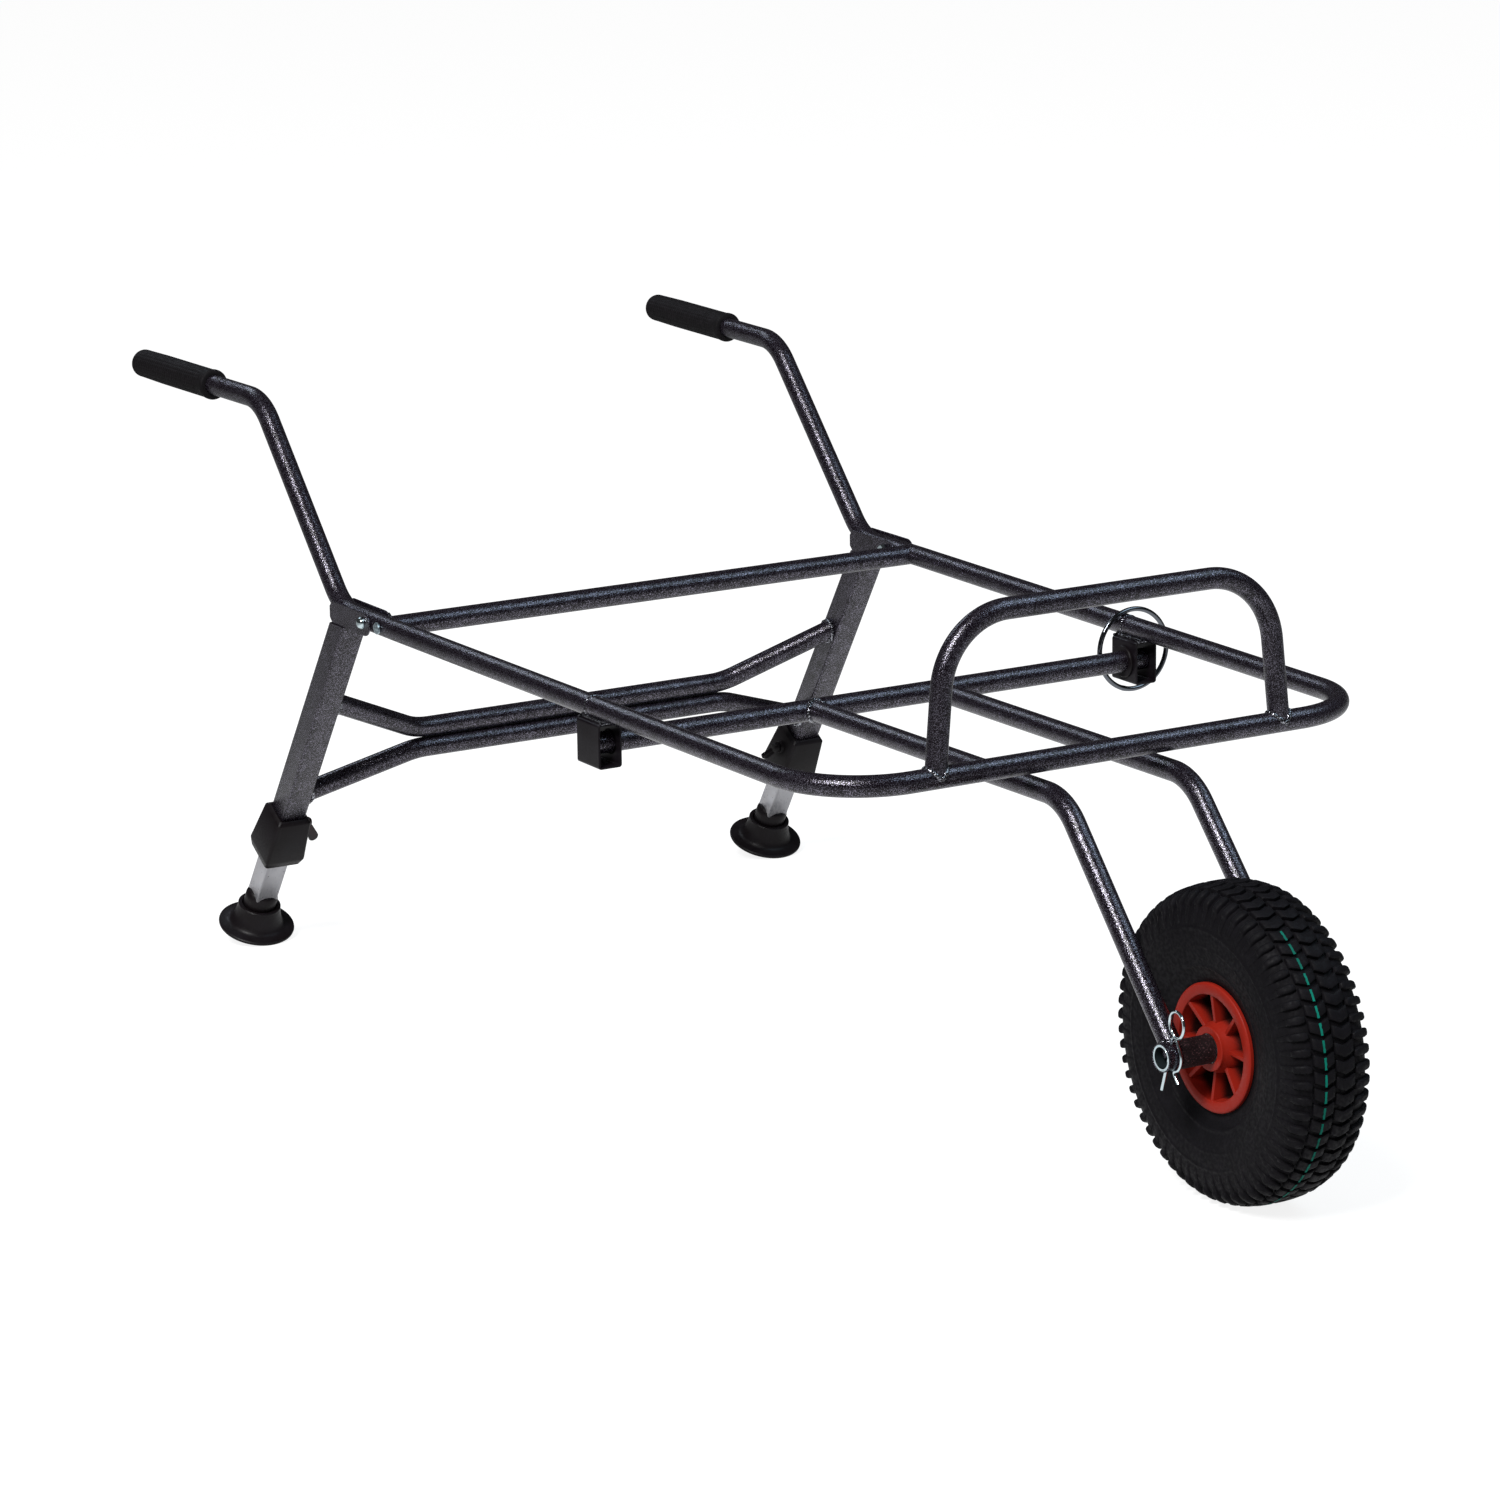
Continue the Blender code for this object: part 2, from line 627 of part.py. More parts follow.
# Main frame
def rail_corners(sign):
    front = (sign * rail_half_width(SEAM_Y), SEAM_Y, rail_height(SEAM_Y))
    toe = (sign * RAIL_HALF_WIDTH, TOE_Y, rail_height(TOE_Y))
    knee = (sign * RAIL_HALF_WIDTH, KNEE_Y, KNEE_Z)
    elbow = (sign * RAIL_HALF_WIDTH, ELBOW_Y, ELBOW_Z)
    end = (sign * HANDLE_HALF_WIDTH, HANDLE_END_Y, HANDLE_END_Z)
    return [front, toe, knee, elbow, end]


def make_grip(side, sign, parent, material):
    corners = [Vector(corner) for corner in rail_corners(sign)]
    end = corners[-1]
    inward = (corners[-2] - end).normalized()
    frame = frame_along(end, inward, Vector((1.0, 0.0, 0.0)))
    bore = RAIL_TUBE / 2.0 + GAP
    profile = [(bore, GRIP_END_WALL), (bore, GRIP_LENGTH), (GRIP_FLANGE_RADIUS, GRIP_LENGTH)]
    profile.append((GRIP_FLANGE_RADIUS, GRIP_LENGTH - GRIP_FLANGE))
    profile.append((GRIP_RADIUS, GRIP_LENGTH - 2.0 * GRIP_FLANGE))
    for angle in (0.0, 30.0, 55.0, 78.0):
        radius = GRIP_RADIUS * 0.55 + GRIP_RADIUS * 0.45 * math.cos(math.radians(angle))
        profile.append((radius, GRIP_END_WALL * 1.6 * (1.0 - math.sin(math.radians(angle)))))
    profile.append((GRIP_RADIUS * 0.4, 0.0))
    add_piece("grip_" + side, turned(frame, profile, 16, closed=False), material, parent)


def make_rails(parent, looks):
    for side, sign in both_sides():
        corners = [Vector(corner) for corner in rail_corners(sign)]
        inward = (corners[-2] - corners[-1]).normalized()
        corners[-1] = corners[-1] + inward * (GRIP_END_WALL + 2.0 * GAP)
        path = rounded_path(corners, RAIL_BEND_RADIUS)
        rail = bent_tube(path, RAIL_TUBE, RAIL_WALL, Vector((1.0, 0.0, 0.0)))
        rail = add_piece("handle_rail_" + side, rail, looks["paint"], parent)
        across = Vector((sign * RAIL_TUBE, 0.0, 0.0))
        bolt = PIVOT + Vector((sign * RAIL_HALF_WIDTH, 0.0, 0.0))
        cut(rail, rod(bolt - across, bolt + across, PIVOT_BOLT_RADIUS + GAP, 12))
        screw = Vector((sign * RAIL_HALF_WIDTH, CROSSBAR_Y, rail_height(CROSSBAR_Y)))
        cut(rail, rod(screw - across, screw + across, CROSSBAR_SCREW_RADIUS + GAP, 12))
        make_grip(side, sign, parent, looks["rubber"])


def make_front(parent, looks):
    plug_y = SEAM_Y + FRONT_PLUG_LENGTH
    corners = []
    for sign in (-1.0, 1.0):
        plug = (sign * rail_half_width(plug_y), plug_y, rail_height(plug_y))
        corner = (sign * FRONT_HALF_WIDTH, FRONT_Y, FRONT_Z)
        corners += [plug, corner] if sign < 0.0 else [corner, plug]
    path = rounded_path(corners, FRONT_CORNER_RADIUS, 6)
    loop = bent_tube(path, FRONT_TUBE, FRONT_WALL, Vector((0.0, 0.0, 1.0)))
    add_piece("front_loop", loop, looks["paint"], parent)
    top = FRONT_Z + HOOP_HEIGHT
    corners = [(-HOOP_FOOT_HALF, FRONT_Y, FRONT_Z), (-HOOP_TOP_HALF, FRONT_Y, top)]
    corners += [(HOOP_TOP_HALF, FRONT_Y, top), (HOOP_FOOT_HALF, FRONT_Y, FRONT_Z)]
    path = rounded_path(corners, HOOP_CORNER_RADIUS)
    hoop = bent_tube(path, HOOP_TUBE, HOOP_WALL, Vector((0.0, 1.0, 0.0)))
    hoop = add_piece("front_hoop", hoop, looks["paint"], parent)
    wide = Vector((HOOP_FOOT_HALF + HOOP_TUBE, 0.0, 0.0))
    middle = Vector((0.0, FRONT_Y, FRONT_Z))
    cut(hoop, rod(middle - wide, middle + wide, FRONT_TUBE / 2.0 + GAP))


def make_sockets(parent, looks):
    """Short lengths of box tube welded under the rails, with a bush in the inner wall."""
    slope = Vector((0.0, math.cos(RAIL_SLOPE), math.sin(RAIL_SLOPE)))
    hang = RAIL_TUBE / 2.0 + GAP + SOCKET_HEIGHT / 2.0
    bush_bore = CROSS_TUBE / 2.0 + GAP
    bush_radius = bush_bore + BUSH_WALL
    hollow = SOCKET_HEIGHT - 2.0 * SOCKET_WALL
    within = SOCKET_WIDTH - 2.0 * SOCKET_WALL
    half = SOCKET_LENGTH / 2.0
    for side, sign in both_sides():
        rail = Vector((sign * rail_half_width(FOLD_Y), FOLD_Y, rail_height(FOLD_Y)))
        frame = frame_along(rail, slope, Vector((0.0, 0.0, 1.0)))
        frame.translation = frame @ Vector((-hang, 0.0, 0.0))
        rings = [square(SOCKET_HEIGHT, SOCKET_CORNER, end, SOCKET_WIDTH) for end in (-half, half)]
        rings += [square(hollow, SOCKET_CORNER - SOCKET_WALL, end, within) for end in (half, -half)]
        socket = loft([[frame @ point for point in ring] for ring in rings], closed=True)
        socket = add_piece("fork_socket_" + side, socket, looks["paint"], parent)
        face = abs(rail.x) - SOCKET_WIDTH / 2.0
        inside = FOLD + Vector((sign * (face - SOCKET_WALL), 0.0, 0.0))
        through = Vector((sign * 3.0 * SOCKET_WALL, 0.0, 0.0))
        cut(socket, rod(inside, inside + through, bush_radius + GAP))
        flange = face - BUSH_FLANGE - GAP
        profile = [(bush_bore, flange), (BUSH_FLANGE_RADIUS, flange), (BUSH_FLANGE_RADIUS, face - GAP)]
        profile += [(bush_radius, face - GAP), (bush_radius, face + SOCKET_WALL), (bush_bore, face + SOCKET_WALL)]
        bush = turned(x_frame(FOLD, sign), profile, ROUND_SIDES, closed=True)
        add_piece("fork_bush_" + side, bush, looks["plastic"], parent)


def make_crossbar(parent, looks):
    middle = Vector((0.0, CROSSBAR_Y, rail_height(CROSSBAR_Y)))
    reach = Vector((RAIL_HALF_WIDTH, 0.0, 0.0))
    bar = bent_tube([middle - reach, middle + reach], RAIL_TUBE, CROSSBAR_WALL, Vector((0.0, 0.0, 1.0)))
    bar = add_piece("rear_crossbar", bar, looks["paint"], parent)
    slope = Vector((0.0, math.cos(RAIL_SLOPE), math.sin(RAIL_SLOPE))) * RAIL_TUBE
    for side, sign in both_sides():
        joint = middle + reach * sign
        cut(bar, rod(joint - slope, joint + slope, RAIL_TUBE / 2.0 + GAP))
        end = RAIL_HALF_WIDTH - RAIL_TUBE / 2.0 - GAP
        bore = (RAIL_TUBE / 2.0 - CROSSBAR_WALL) * math.cos(math.pi / TUBE_SIDES) - GAP
        profile = ring_profile(bore, CROSSBAR_SCREW_RADIUS + GAP, end - CROSSBAR_PLUG_LENGTH, end)
        plug = turned(x_frame(middle, sign), profile, ROUND_SIDES, closed=True)
        add_piece("crossbar_plug_" + side, plug, looks["steel"], parent)
        seat = RAIL_HALF_WIDTH + RAIL_TUBE / 2.0 + GAP
        head = CROSSBAR_SCREW_HEAD_RADIUS
        profile = [(CROSSBAR_SCREW_RADIUS, end - 0.018), (CROSSBAR_SCREW_RADIUS, seat), (head, seat)]
        profile += [(head, seat + CROSSBAR_SCREW_HEAD * 0.7), (head * 0.85, seat + CROSSBAR_SCREW_HEAD)]
        screw = turned(x_frame(middle, sign), profile, ROUND_SIDES, closed=False)
        add_piece("crossbar_screw_" + side, screw, looks["zinc"], parent)


def ring_middle():
    """Centre of the strap ring, which hangs on the left rail just behind the cross tube."""
    y = FOLD_Y + CROSS_TUBE / 2.0 + RING_WIRE / 2.0 + 2.0 * GAP
    reach = RING_RADIUS - RING_WIRE / 2.0 - RAIL_TUBE / 2.0 - GAP
    drop = math.sqrt(reach ** 2 - RING_SHIFT ** 2)
    return Vector((rail_half_width(y) + RING_SHIFT, y, rail_height(y) - drop))


def ring_hang():
    """Place in the ring's wire right above the rail's axis, about which the ring swings."""
    rise = math.sqrt(RING_RADIUS ** 2 - RING_SHIFT ** 2)
    return ring_middle() + Vector((-RING_SHIFT, 0.0, rise))


def make_ring(parent, looks):
    """Welded wire ring for a lashing strap."""
    middle = ring_middle()
    rings = []
    for index in range(RING_STATIONS):
        angle = 2.0 * math.pi * index / RING_STATIONS
        out = Vector((math.cos(angle), 0.0, math.sin(angle)))
        frame = frame_along(middle + out * RING_RADIUS, Vector((-out.z, 0.0, out.x)), Vector((0.0, 1.0, 0.0)))
        rings.append([frame @ point for point in circle(RING_WIRE / 2.0, 0.0, 6)])
    add_piece("strap_ring", loft(rings, closed=True), looks["zinc"], parent)


# Folding legs
def leg_frame(sign):
    """Frame whose Z runs down one leg from the point opposite the pivot."""
    down = Vector((sign * LEG_SPLAY, math.sin(LEG_LEAN), -math.cos(LEG_LEAN)))
    start = LEG_START + Vector((sign * RAIL_HALF_WIDTH, 0.0, 0.0))
    return frame_along(start, down, Vector((1.0, 0.0, 0.0)))


def section_tube(frame, size, wall, corner, start, end):
    """Hollow square tube between two heights of a frame."""
    bore = size - 2.0 * wall
    soft = max(corner - wall, 0.0006)
    rings = [square(size, corner, start), square(size, corner, end)]
    rings += [square(bore, soft, end), square(bore, soft, start)]
    return loft([[frame @ point for point in ring] for ring in rings], closed=True)


def bracket_point(along, above):
    """A place beside the pivot, along the rail and square to it."""
    slope = Vector((0.0, math.cos(RAIL_SLOPE), math.sin(RAIL_SLOPE)))
    upright = Vector((0.0, -math.sin(RAIL_SLOPE), math.cos(RAIL_SLOPE)))
    return PIVOT + slope * along + upright * above


def bracket_block(low, high, below, above, half_width, x):
    ring = [(low, below), (high, below), (high, above), (low, above)]
    rings = [[bracket_point(u, v) + Vector((end, 0.0, 0.0)) for u, v in ring] for end in (x - half_width, x + half_width)]
    return loft(rings)


def make_bracket(side, sign, parent, looks):
    """Channel round the rail: two cheeks and a web that stops under the rail."""
    top = RAIL_TUBE / 2.0
    web_top = -(RAIL_TUBE / 2.0 + GAP)
    bottom = web_top - BRACKET_WALL
    outline = []
    first = math.pi - math.asin(top / BRACKET_REACH)
    last = math.pi + math.asin(-bottom / BRACKET_REACH)
    for step in range(6):
        angle = first + (last - first) * step / 5
        outline.append((BRACKET_REACH * math.cos(angle), BRACKET_REACH * math.sin(angle)))
    outline += [(BRACKET_LENGTH - BRACKET_CORNER, bottom), (BRACKET_LENGTH, bottom + BRACKET_CORNER)]
    outline += [(BRACKET_LENGTH, top - BRACKET_CORNER), (BRACKET_LENGTH - BRACKET_CORNER, top)]
    inside = RAIL_TUBE / 2.0 + GAP
    half = inside + BRACKET_WALL
    x = sign * RAIL_HALF_WIDTH
    rings = []
    for end in (x - half, x + half):
        rings.append([bracket_point(u, v) + Vector((end, 0.0, 0.0)) for u, v in outline])
    bracket = add_piece("leg_bracket_" + side, loft(rings), looks["paint"], parent)
    cut(bracket, bracket_block(-0.05, BRACKET_LENGTH + 0.05, web_top, 0.05, inside, x))
    cut(bracket, bracket_block(-0.05, BRACKET_WEB_START, -0.05, web_top + 0.004, inside, x))
    wide = Vector((half + 0.01, 0.0, 0.0))
    middle = PIVOT + Vector((x, 0.0, 0.0))
    cut(bracket, rod(middle - wide, middle + wide, PIVOT_BOLT_RADIUS + GAP, 12))


def make_pivot_bolt(side, sign, parent, looks):
    cheek = RAIL_TUBE / 2.0 + GAP + BRACKET_WALL + GAP
    outer = RAIL_HALF_WIDTH + cheek
    inner = RAIL_HALF_WIDTH - cheek
    bore = PIVOT_BOLT_RADIUS
    profile = [(bore, inner - PIVOT_NUT_HEIGHT * 0.8), (bore, outer)]
    for angle in (0.0, 30.0, 55.0, 75.0):
        radius = PIVOT_HEAD_RADIUS * math.cos(math.radians(angle))
        profile.append((radius, outer + PIVOT_HEAD_HEIGHT * math.sin(math.radians(angle))))
    bolt = turned(x_frame(PIVOT, sign), profile, ROUND_SIDES, closed=False)
    add_piece("leg_pivot_bolt_" + side, bolt, looks["zinc"], parent)
    profile = ring_profile(PIVOT_NUT_RADIUS, bore + GAP, inner - PIVOT_NUT_HEIGHT, inner)
    nut = turned(x_frame(PIVOT, sign), profile, ROUND_SIDES, closed=True)
    add_piece("leg_pivot_nut_" + side, nut, looks["zinc"], parent)


def make_braces(parent, looks):
    right = leg_frame(-1.0)
    spacing = BRACE_TUBE / 2.0 + GAP / 2.0
    middle = right @ Vector((0.0, 0.0, BRACE_MEETING))
    runs = (("upper", BRACE_UPPER_END, spacing), ("lower", BRACE_LOWER_END, -spacing))
    for name, end, rise in runs:
        outer = right @ Vector((0.0, 0.0, end))
        inner = middle + Vector((0.0, 0.0, rise))
        corners = [outer, Vector((-BRACE_BEND_HALF, inner.y, inner.z)), Vector((BRACE_BEND_HALF, inner.y, inner.z))]
        corners.append(Vector((-outer.x, outer.y, outer.z)))
        path = rounded_path(corners, BRACE_BEND_RADIUS)
        brace = bent_tube(path, BRACE_TUBE, BRACE_WALL, LEG_RIGHT_ANGLE)
        brace = add_piece("leg_brace_" + name, brace, looks["paint"], parent)
        for _, sign in both_sides():
            size = LEG_TUBE + 2.0 * GAP
            frame = leg_frame(sign)
            rings = [square(size, LEG_CORNER, end + shift) for shift in (-0.04, 0.04)]
            cut(brace, loft([[frame @ point for point in ring] for ring in rings]))


def make_clamp(side, sign, parent, looks):
    """Moulded collar: upper part over the outer tube, lower part over the inner tube."""
    frame = leg_frame(sign)
    end = CLAMP_TOP + CLAMP_LENGTH
    sleeve = LEG_TUBE + 2.0 * GAP
    neck = INNER_TUBE + 2.0 * GAP
    step = LEG_END + GAP
    rings = [square(CLAMP_TOP_SIZE - 2.0 * CLAMP_CHAMFER, LEG_CORNER, CLAMP_TOP)]
    rings.append(square(CLAMP_TOP_SIZE, LEG_CORNER, CLAMP_TOP + CLAMP_CHAMFER))
    rings.append(square(CLAMP_END_SIZE, LEG_CORNER, end - CLAMP_CHAMFER / 2.0))
    rings.append(square(CLAMP_END_SIZE - CLAMP_CHAMFER, LEG_CORNER, end))
    rings += [square(neck, LEG_CORNER, end), square(neck, LEG_CORNER, step)]
    rings += [square(sleeve, LEG_CORNER, step), square(sleeve, LEG_CORNER, CLAMP_TOP)]
    clamp = loft([[frame @ point for point in ring] for ring in rings], closed=True)
    clamp = add_piece("leg_clamp_" + side, clamp, looks["plastic"], parent)
    axis = screw_frame(sign)
    boss = axis @ Vector((0.0, 0.0, CLAMP_BOSS_HEIGHT))
    join(clamp, rod(axis @ Vector((0.0, 0.0, CLAMP_BOSS_HEIGHT - CLAMP_CHAMFER * 1.5)), boss, CLAMP_BOSS_RADIUS, 16))
    cut(clamp, clamp_hole(sign))


def screw_frame(sign):
    """Frame on the clamp screw's axis: Z points from the inner tube's face to the cart's middle."""
    seat = leg_frame(sign) @ Vector((-sign * (INNER_TUBE / 2.0 + GAP), 0.0, CLAMP_SCREW_ALONG))
    return frame_along(seat, Vector((-sign, 0.0, 0.0)), Vector((0.0, 0.0, 1.0)))


def clamp_hole(sign):
    """Hole for the clamp screw, from the inner tube's face out through the boss."""
    axis = screw_frame(sign)
    out = axis @ Vector((0.0, 0.0, CLAMP_BOSS_HEIGHT + CLAMP_CHAMFER))
    return rod(axis.translation, out, CLAMP_SCREW_RADIUS + GAP, 12)


def make_clamp_screw(side, sign, parent, looks):
    """Thumb screw with two wings, tightened against the inner tube."""
    axis = screw_frame(sign)
    seat = CLAMP_BOSS_HEIGHT + GAP
    half = CLAMP_WING_THICKNESS / 2.0
    profile = [(CLAMP_SCREW_RADIUS, 0.0), (CLAMP_SCREW_RADIUS, seat), (CLAMP_KNOB_RADIUS, seat)]
    profile += [(CLAMP_KNOB_RADIUS, seat + CLAMP_KNOB_HEIGHT * 0.6), (half, seat + CLAMP_KNOB_HEIGHT * 0.7)]
    screw = add_piece("clamp_screw_" + side, turned(axis, profile, 12, closed=False), looks["plastic"], parent)
    span = CLAMP_WING_SPAN / 2.0
    base = seat + CLAMP_KNOB_HEIGHT * 0.3
    tip = seat + CLAMP_KNOB_HEIGHT
    outline = [(-CLAMP_KNOB_RADIUS * 0.6, base), (CLAMP_KNOB_RADIUS * 0.6, base), (span, tip - 0.004), (span - 0.002, tip)]
    outline += [(0.0, tip - 0.003), (-span + 0.002, tip), (-span, tip - 0.004)]
    rings = [[axis @ Vector((u, thick, v)) for u, v in outline] for thick in (-half, half)]
    join(screw, loft(rings))


def ball_centre(sign):
    return leg_frame(sign) @ Vector((0.0, 0.0, BALL_ALONG))


def make_foot(side, sign, leg, foot, looks):
    """Swivel foot: a cupped pad that rocks on the round end of the leg plug."""
    frame = leg_frame(sign)
    bore = INNER_TUBE + 2.0 * GAP
    top = BALL_ALONG - PLUG_HEIGHT
    rings = [square(bore, LEG_CORNER, top + PLUG_SOCKET), square(bore, LEG_CORNER, top)]
    rings.append(circle(PLUG_RADIUS, top, TUBE_SIDES))
    for angle in (0.0, 25.0, 50.0, 72.0):
        drop = PLUG_RADIUS * math.sin(math.radians(angle))
        rings.append(circle(PLUG_RADIUS * math.cos(math.radians(angle)), BALL_ALONG + drop, TUBE_SIDES))
    plug = loft([[frame @ point for point in ring] for ring in rings])
    add_piece("foot_plug_" + side, plug, looks["plastic"], leg)
    normal = Vector((0.0, -math.sin(FOOT_TILT), math.cos(FOOT_TILT)))
    ball = ball_centre(sign)
    base = frame_along(ball - normal * FOOT_BALL_HEIGHT, normal, Vector((1.0, 0.0, 0.0)))
    bowl = PLUG_RADIUS + FOOT_BALL_CLEARANCE
    rim = FOOT_BALL_HEIGHT - 0.001
    profile = [(bowl * 0.3, FOOT_BALL_HEIGHT - bowl * 0.954)]
    for angle in (50.0, 25.0, 4.0):
        drop = bowl * math.sin(math.radians(angle))
        profile.append((bowl * math.cos(math.radians(angle)) + 0.0001, FOOT_BALL_HEIGHT - drop))
    profile += [(FOOT_CUP_RADIUS, rim), (FOOT_CUP_RADIUS, rim - 0.004), (FOOT_CUP_RADIUS + 0.003, 0.013)]
    profile += [(FOOT_CUP_RADIUS + 0.009, 0.0065), (FOOT_RADIUS - 0.001, FOOT_FLANGE), (FOOT_RADIUS, FOOT_FLANGE - 0.001)]
    profile.append((FOOT_RADIUS, 0.0))
    add_piece("foot_" + side, turned(base, profile, 20, closed=False), looks["plastic"], foot)


# The ball of the foot lies where the tilted pad's front edge just reaches the ground
BALL_HEIGHT = FOOT_BALL_HEIGHT * math.cos(FOOT_TILT) + FOOT_RADIUS * math.sin(FOOT_TILT)
LEG_STRIDE = math.sqrt(1.0 + LEG_SPLAY ** 2)
BALL_ALONG = (LEG_START.z - BALL_HEIGHT) / math.cos(LEG_LEAN) * LEG_STRIDE


def make_legs(parent, looks):
    for side, sign in both_sides():
        make_bracket(side, sign, parent, looks)
        frame = leg_frame(sign)
        leg = section_tube(frame, LEG_TUBE, LEG_WALL, LEG_CORNER, LEG_TOP, LEG_END)
        leg = add_piece("leg_outer_" + side, leg, looks["paint"], parent)
        web_under = -(RAIL_TUBE / 2.0 + GAP + BRACKET_WALL + GAP)
        x = sign * RAIL_HALF_WIDTH
        cut(leg, bracket_block(-0.05, BRACKET_LENGTH + 0.05, web_under, 0.08, 0.03, x))
        cut(leg, clamp_hole(sign))
        make_clamp(side, sign, parent, looks)
        screw_pivot = make_pivot("clamp_screw_pivot_" + side, screw_frame(sign).translation, parent)
        make_clamp_screw(side, sign, screw_pivot, looks)
        slide = make_pivot("inner_leg_slide_" + side, frame @ Vector((0.0, 0.0, LEG_END)), parent)
        end = BALL_ALONG - PLUG_HEIGHT + PLUG_SOCKET - GAP
        inner = section_tube(frame, INNER_TUBE, INNER_WALL, LEG_CORNER, INNER_TOP, end)
        add_piece("leg_inner_" + side, inner, looks["aluminium"], slide)
        foot_pivot = make_pivot("foot_pivot_" + side, ball_centre(sign), slide)
        make_foot(side, sign, slide, foot_pivot, looks)
    make_braces(parent, looks)


def main():
    clear_scene()
    looks = {
        "paint": make_material("hammertone_paint", (0.055, 0.065, 0.080), 0.42, 0.75),
        "zinc": make_material("bright_zinc", (0.62, 0.64, 0.66), 0.25, 1.0),
        "steel": make_material("bare_steel", (0.50, 0.50, 0.50), 0.35, 1.0),
        "aluminium": make_material("aluminium", (0.66, 0.67, 0.69), 0.40, 1.0),
        "rubber": make_material("black_rubber", (0.018, 0.018, 0.020), 0.75, 0.0),
        "tyre": make_material("tyre_rubber", (0.016, 0.015, 0.017), 0.70, 0.0),
        "plastic": make_material("black_plastic", (0.022, 0.021, 0.025), 0.45, 0.0),
        "red": make_material("red_plastic", (0.62, 0.035, 0.020), 0.40, 0.0),
    }
    cart = make_pivot("cart", Vector((0.0, MIDDLE_Y, 0.0)))
    make_rails(cart, looks)
    make_front(cart, looks)
    make_sockets(cart, looks)
    make_crossbar(cart, looks)
    for side, sign in both_sides():
        make_pivot_bolt(side, sign, cart, looks)
    hang = make_pivot("strap_ring_pivot", ring_hang(), cart)
    make_ring(hang, looks)
    fork = make_pivot("fork_pivot", FOLD, cart)
    make_fork(fork, looks)
    wheel = make_pivot("wheel_pivot", AXLE, fork)
    make_wheel(wheel, looks)
    legs = make_pivot("leg_pivot", PIVOT, cart)
    make_legs(legs, looks)


main()
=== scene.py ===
"""Looks of the folding one-wheel transport cart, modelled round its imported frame.

Metres, +Z up. The wheel is towards -Y and the handles are towards +Y.
Right and left are those of the person who holds the handles: right is -X and left is +X.
"""
import json
import math

import bmesh
import bpy
from mathutils import Matrix, Vector, noise


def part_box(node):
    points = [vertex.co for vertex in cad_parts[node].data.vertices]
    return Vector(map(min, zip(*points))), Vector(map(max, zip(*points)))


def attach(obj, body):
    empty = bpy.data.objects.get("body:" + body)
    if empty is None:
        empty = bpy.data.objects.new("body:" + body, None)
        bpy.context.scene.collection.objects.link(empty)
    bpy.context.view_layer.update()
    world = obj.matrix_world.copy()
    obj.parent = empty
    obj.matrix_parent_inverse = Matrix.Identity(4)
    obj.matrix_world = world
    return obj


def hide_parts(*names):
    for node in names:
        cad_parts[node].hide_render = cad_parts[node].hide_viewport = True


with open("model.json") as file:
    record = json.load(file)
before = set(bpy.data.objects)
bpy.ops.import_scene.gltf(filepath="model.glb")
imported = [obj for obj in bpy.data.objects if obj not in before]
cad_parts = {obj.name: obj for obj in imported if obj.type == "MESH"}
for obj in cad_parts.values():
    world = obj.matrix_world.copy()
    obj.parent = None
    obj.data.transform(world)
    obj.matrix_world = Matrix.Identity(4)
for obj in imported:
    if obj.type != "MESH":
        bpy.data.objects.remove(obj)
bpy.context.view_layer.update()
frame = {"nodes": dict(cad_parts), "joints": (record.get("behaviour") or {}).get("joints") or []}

SIDES = (("right", -1.0), ("left", 1.0))
JOINTS = {joint["name"]: joint for joint in frame["joints"]}
AXLE = Vector(JOINTS["wheel_spin"]["pos_m"])
FOLD = Vector(JOINTS["fork_fold"]["pos_m"])
PIVOT = Vector(JOINTS["legs_fold"]["pos_m"])
X_AXIS = Vector((1.0, 0.0, 0.0))
Y_AXIS = Vector((0.0, 1.0, 0.0))
Z_AXIS = Vector((0.0, 0.0, 1.0))

# Sizes of the real pieces
TUBE = 0.0220
THIN_TUBE = 0.0210
TUBE_WALL = 0.0015
TUBE_SIDES = 48
LIP = 0.0004
GAP = 0.0003
FRONT_Y = 0.2047
FRONT_Z = 0.3865
FRONT_HALF_WIDTH = 0.3105
FRONT_CORNER_RADIUS = 0.090
LOOP_PLUG_LENGTH = 0.050
SEAM_Y = 0.6260
RAIL_HALF_WIDTH = 0.3240
RAIL_WALL = 0.0012
RAIL_SLOPE = math.radians(1.39)
TOE_Y = 1.0300
KNEE_Y = 1.1509
ELBOW_Y = 1.3283
SHAFT_SLOPE = math.radians(48.7)
HANDLE_HALF_WIDTH = 0.3319
HANDLE_LENGTH = 0.2890
HANDLE_SLOPE = math.radians(1.47)
RAIL_BEND_RADIUS = 0.062
HOOP_HEIGHT = 0.1490
HOOP_FOOT_HALF = 0.1955
HOOP_TOP_HALF = 0.1811
HOOP_CORNER_RADIUS = 0.074
CROSSBAR_Y = 1.0505
FORK_BEND_Y = 0.1771
FORK_BEND_Z = 0.3555
FORK_BEND_HALF = 0.0720
FORK_HALF = 0.07425
FORK_BEND_RADIUS = 0.062
LEG_LEAN = math.radians(34.07)
LEG_AXIS_OFFSET = 0.0410
LEG_TUBE = 0.0290
LEG_SPLAY = 0.0130
LEG_CORNER = 0.0030
INNER_LEG = 0.0256
BRACE_BEND_HALF = 0.1950
BRACE_BEND_RADIUS = 0.060
BRACE_MEETING = 0.2365
BRACE_UPPER_END = 0.1535
BRACE_LOWER_END = 0.3020
WELD_RADIUS = 0.0023
WELD_RUN = 0.030


def at(x, y, z):
    """A place given from the axle's Y and from the ground."""
    return Vector((x, y + AXLE.y, z))


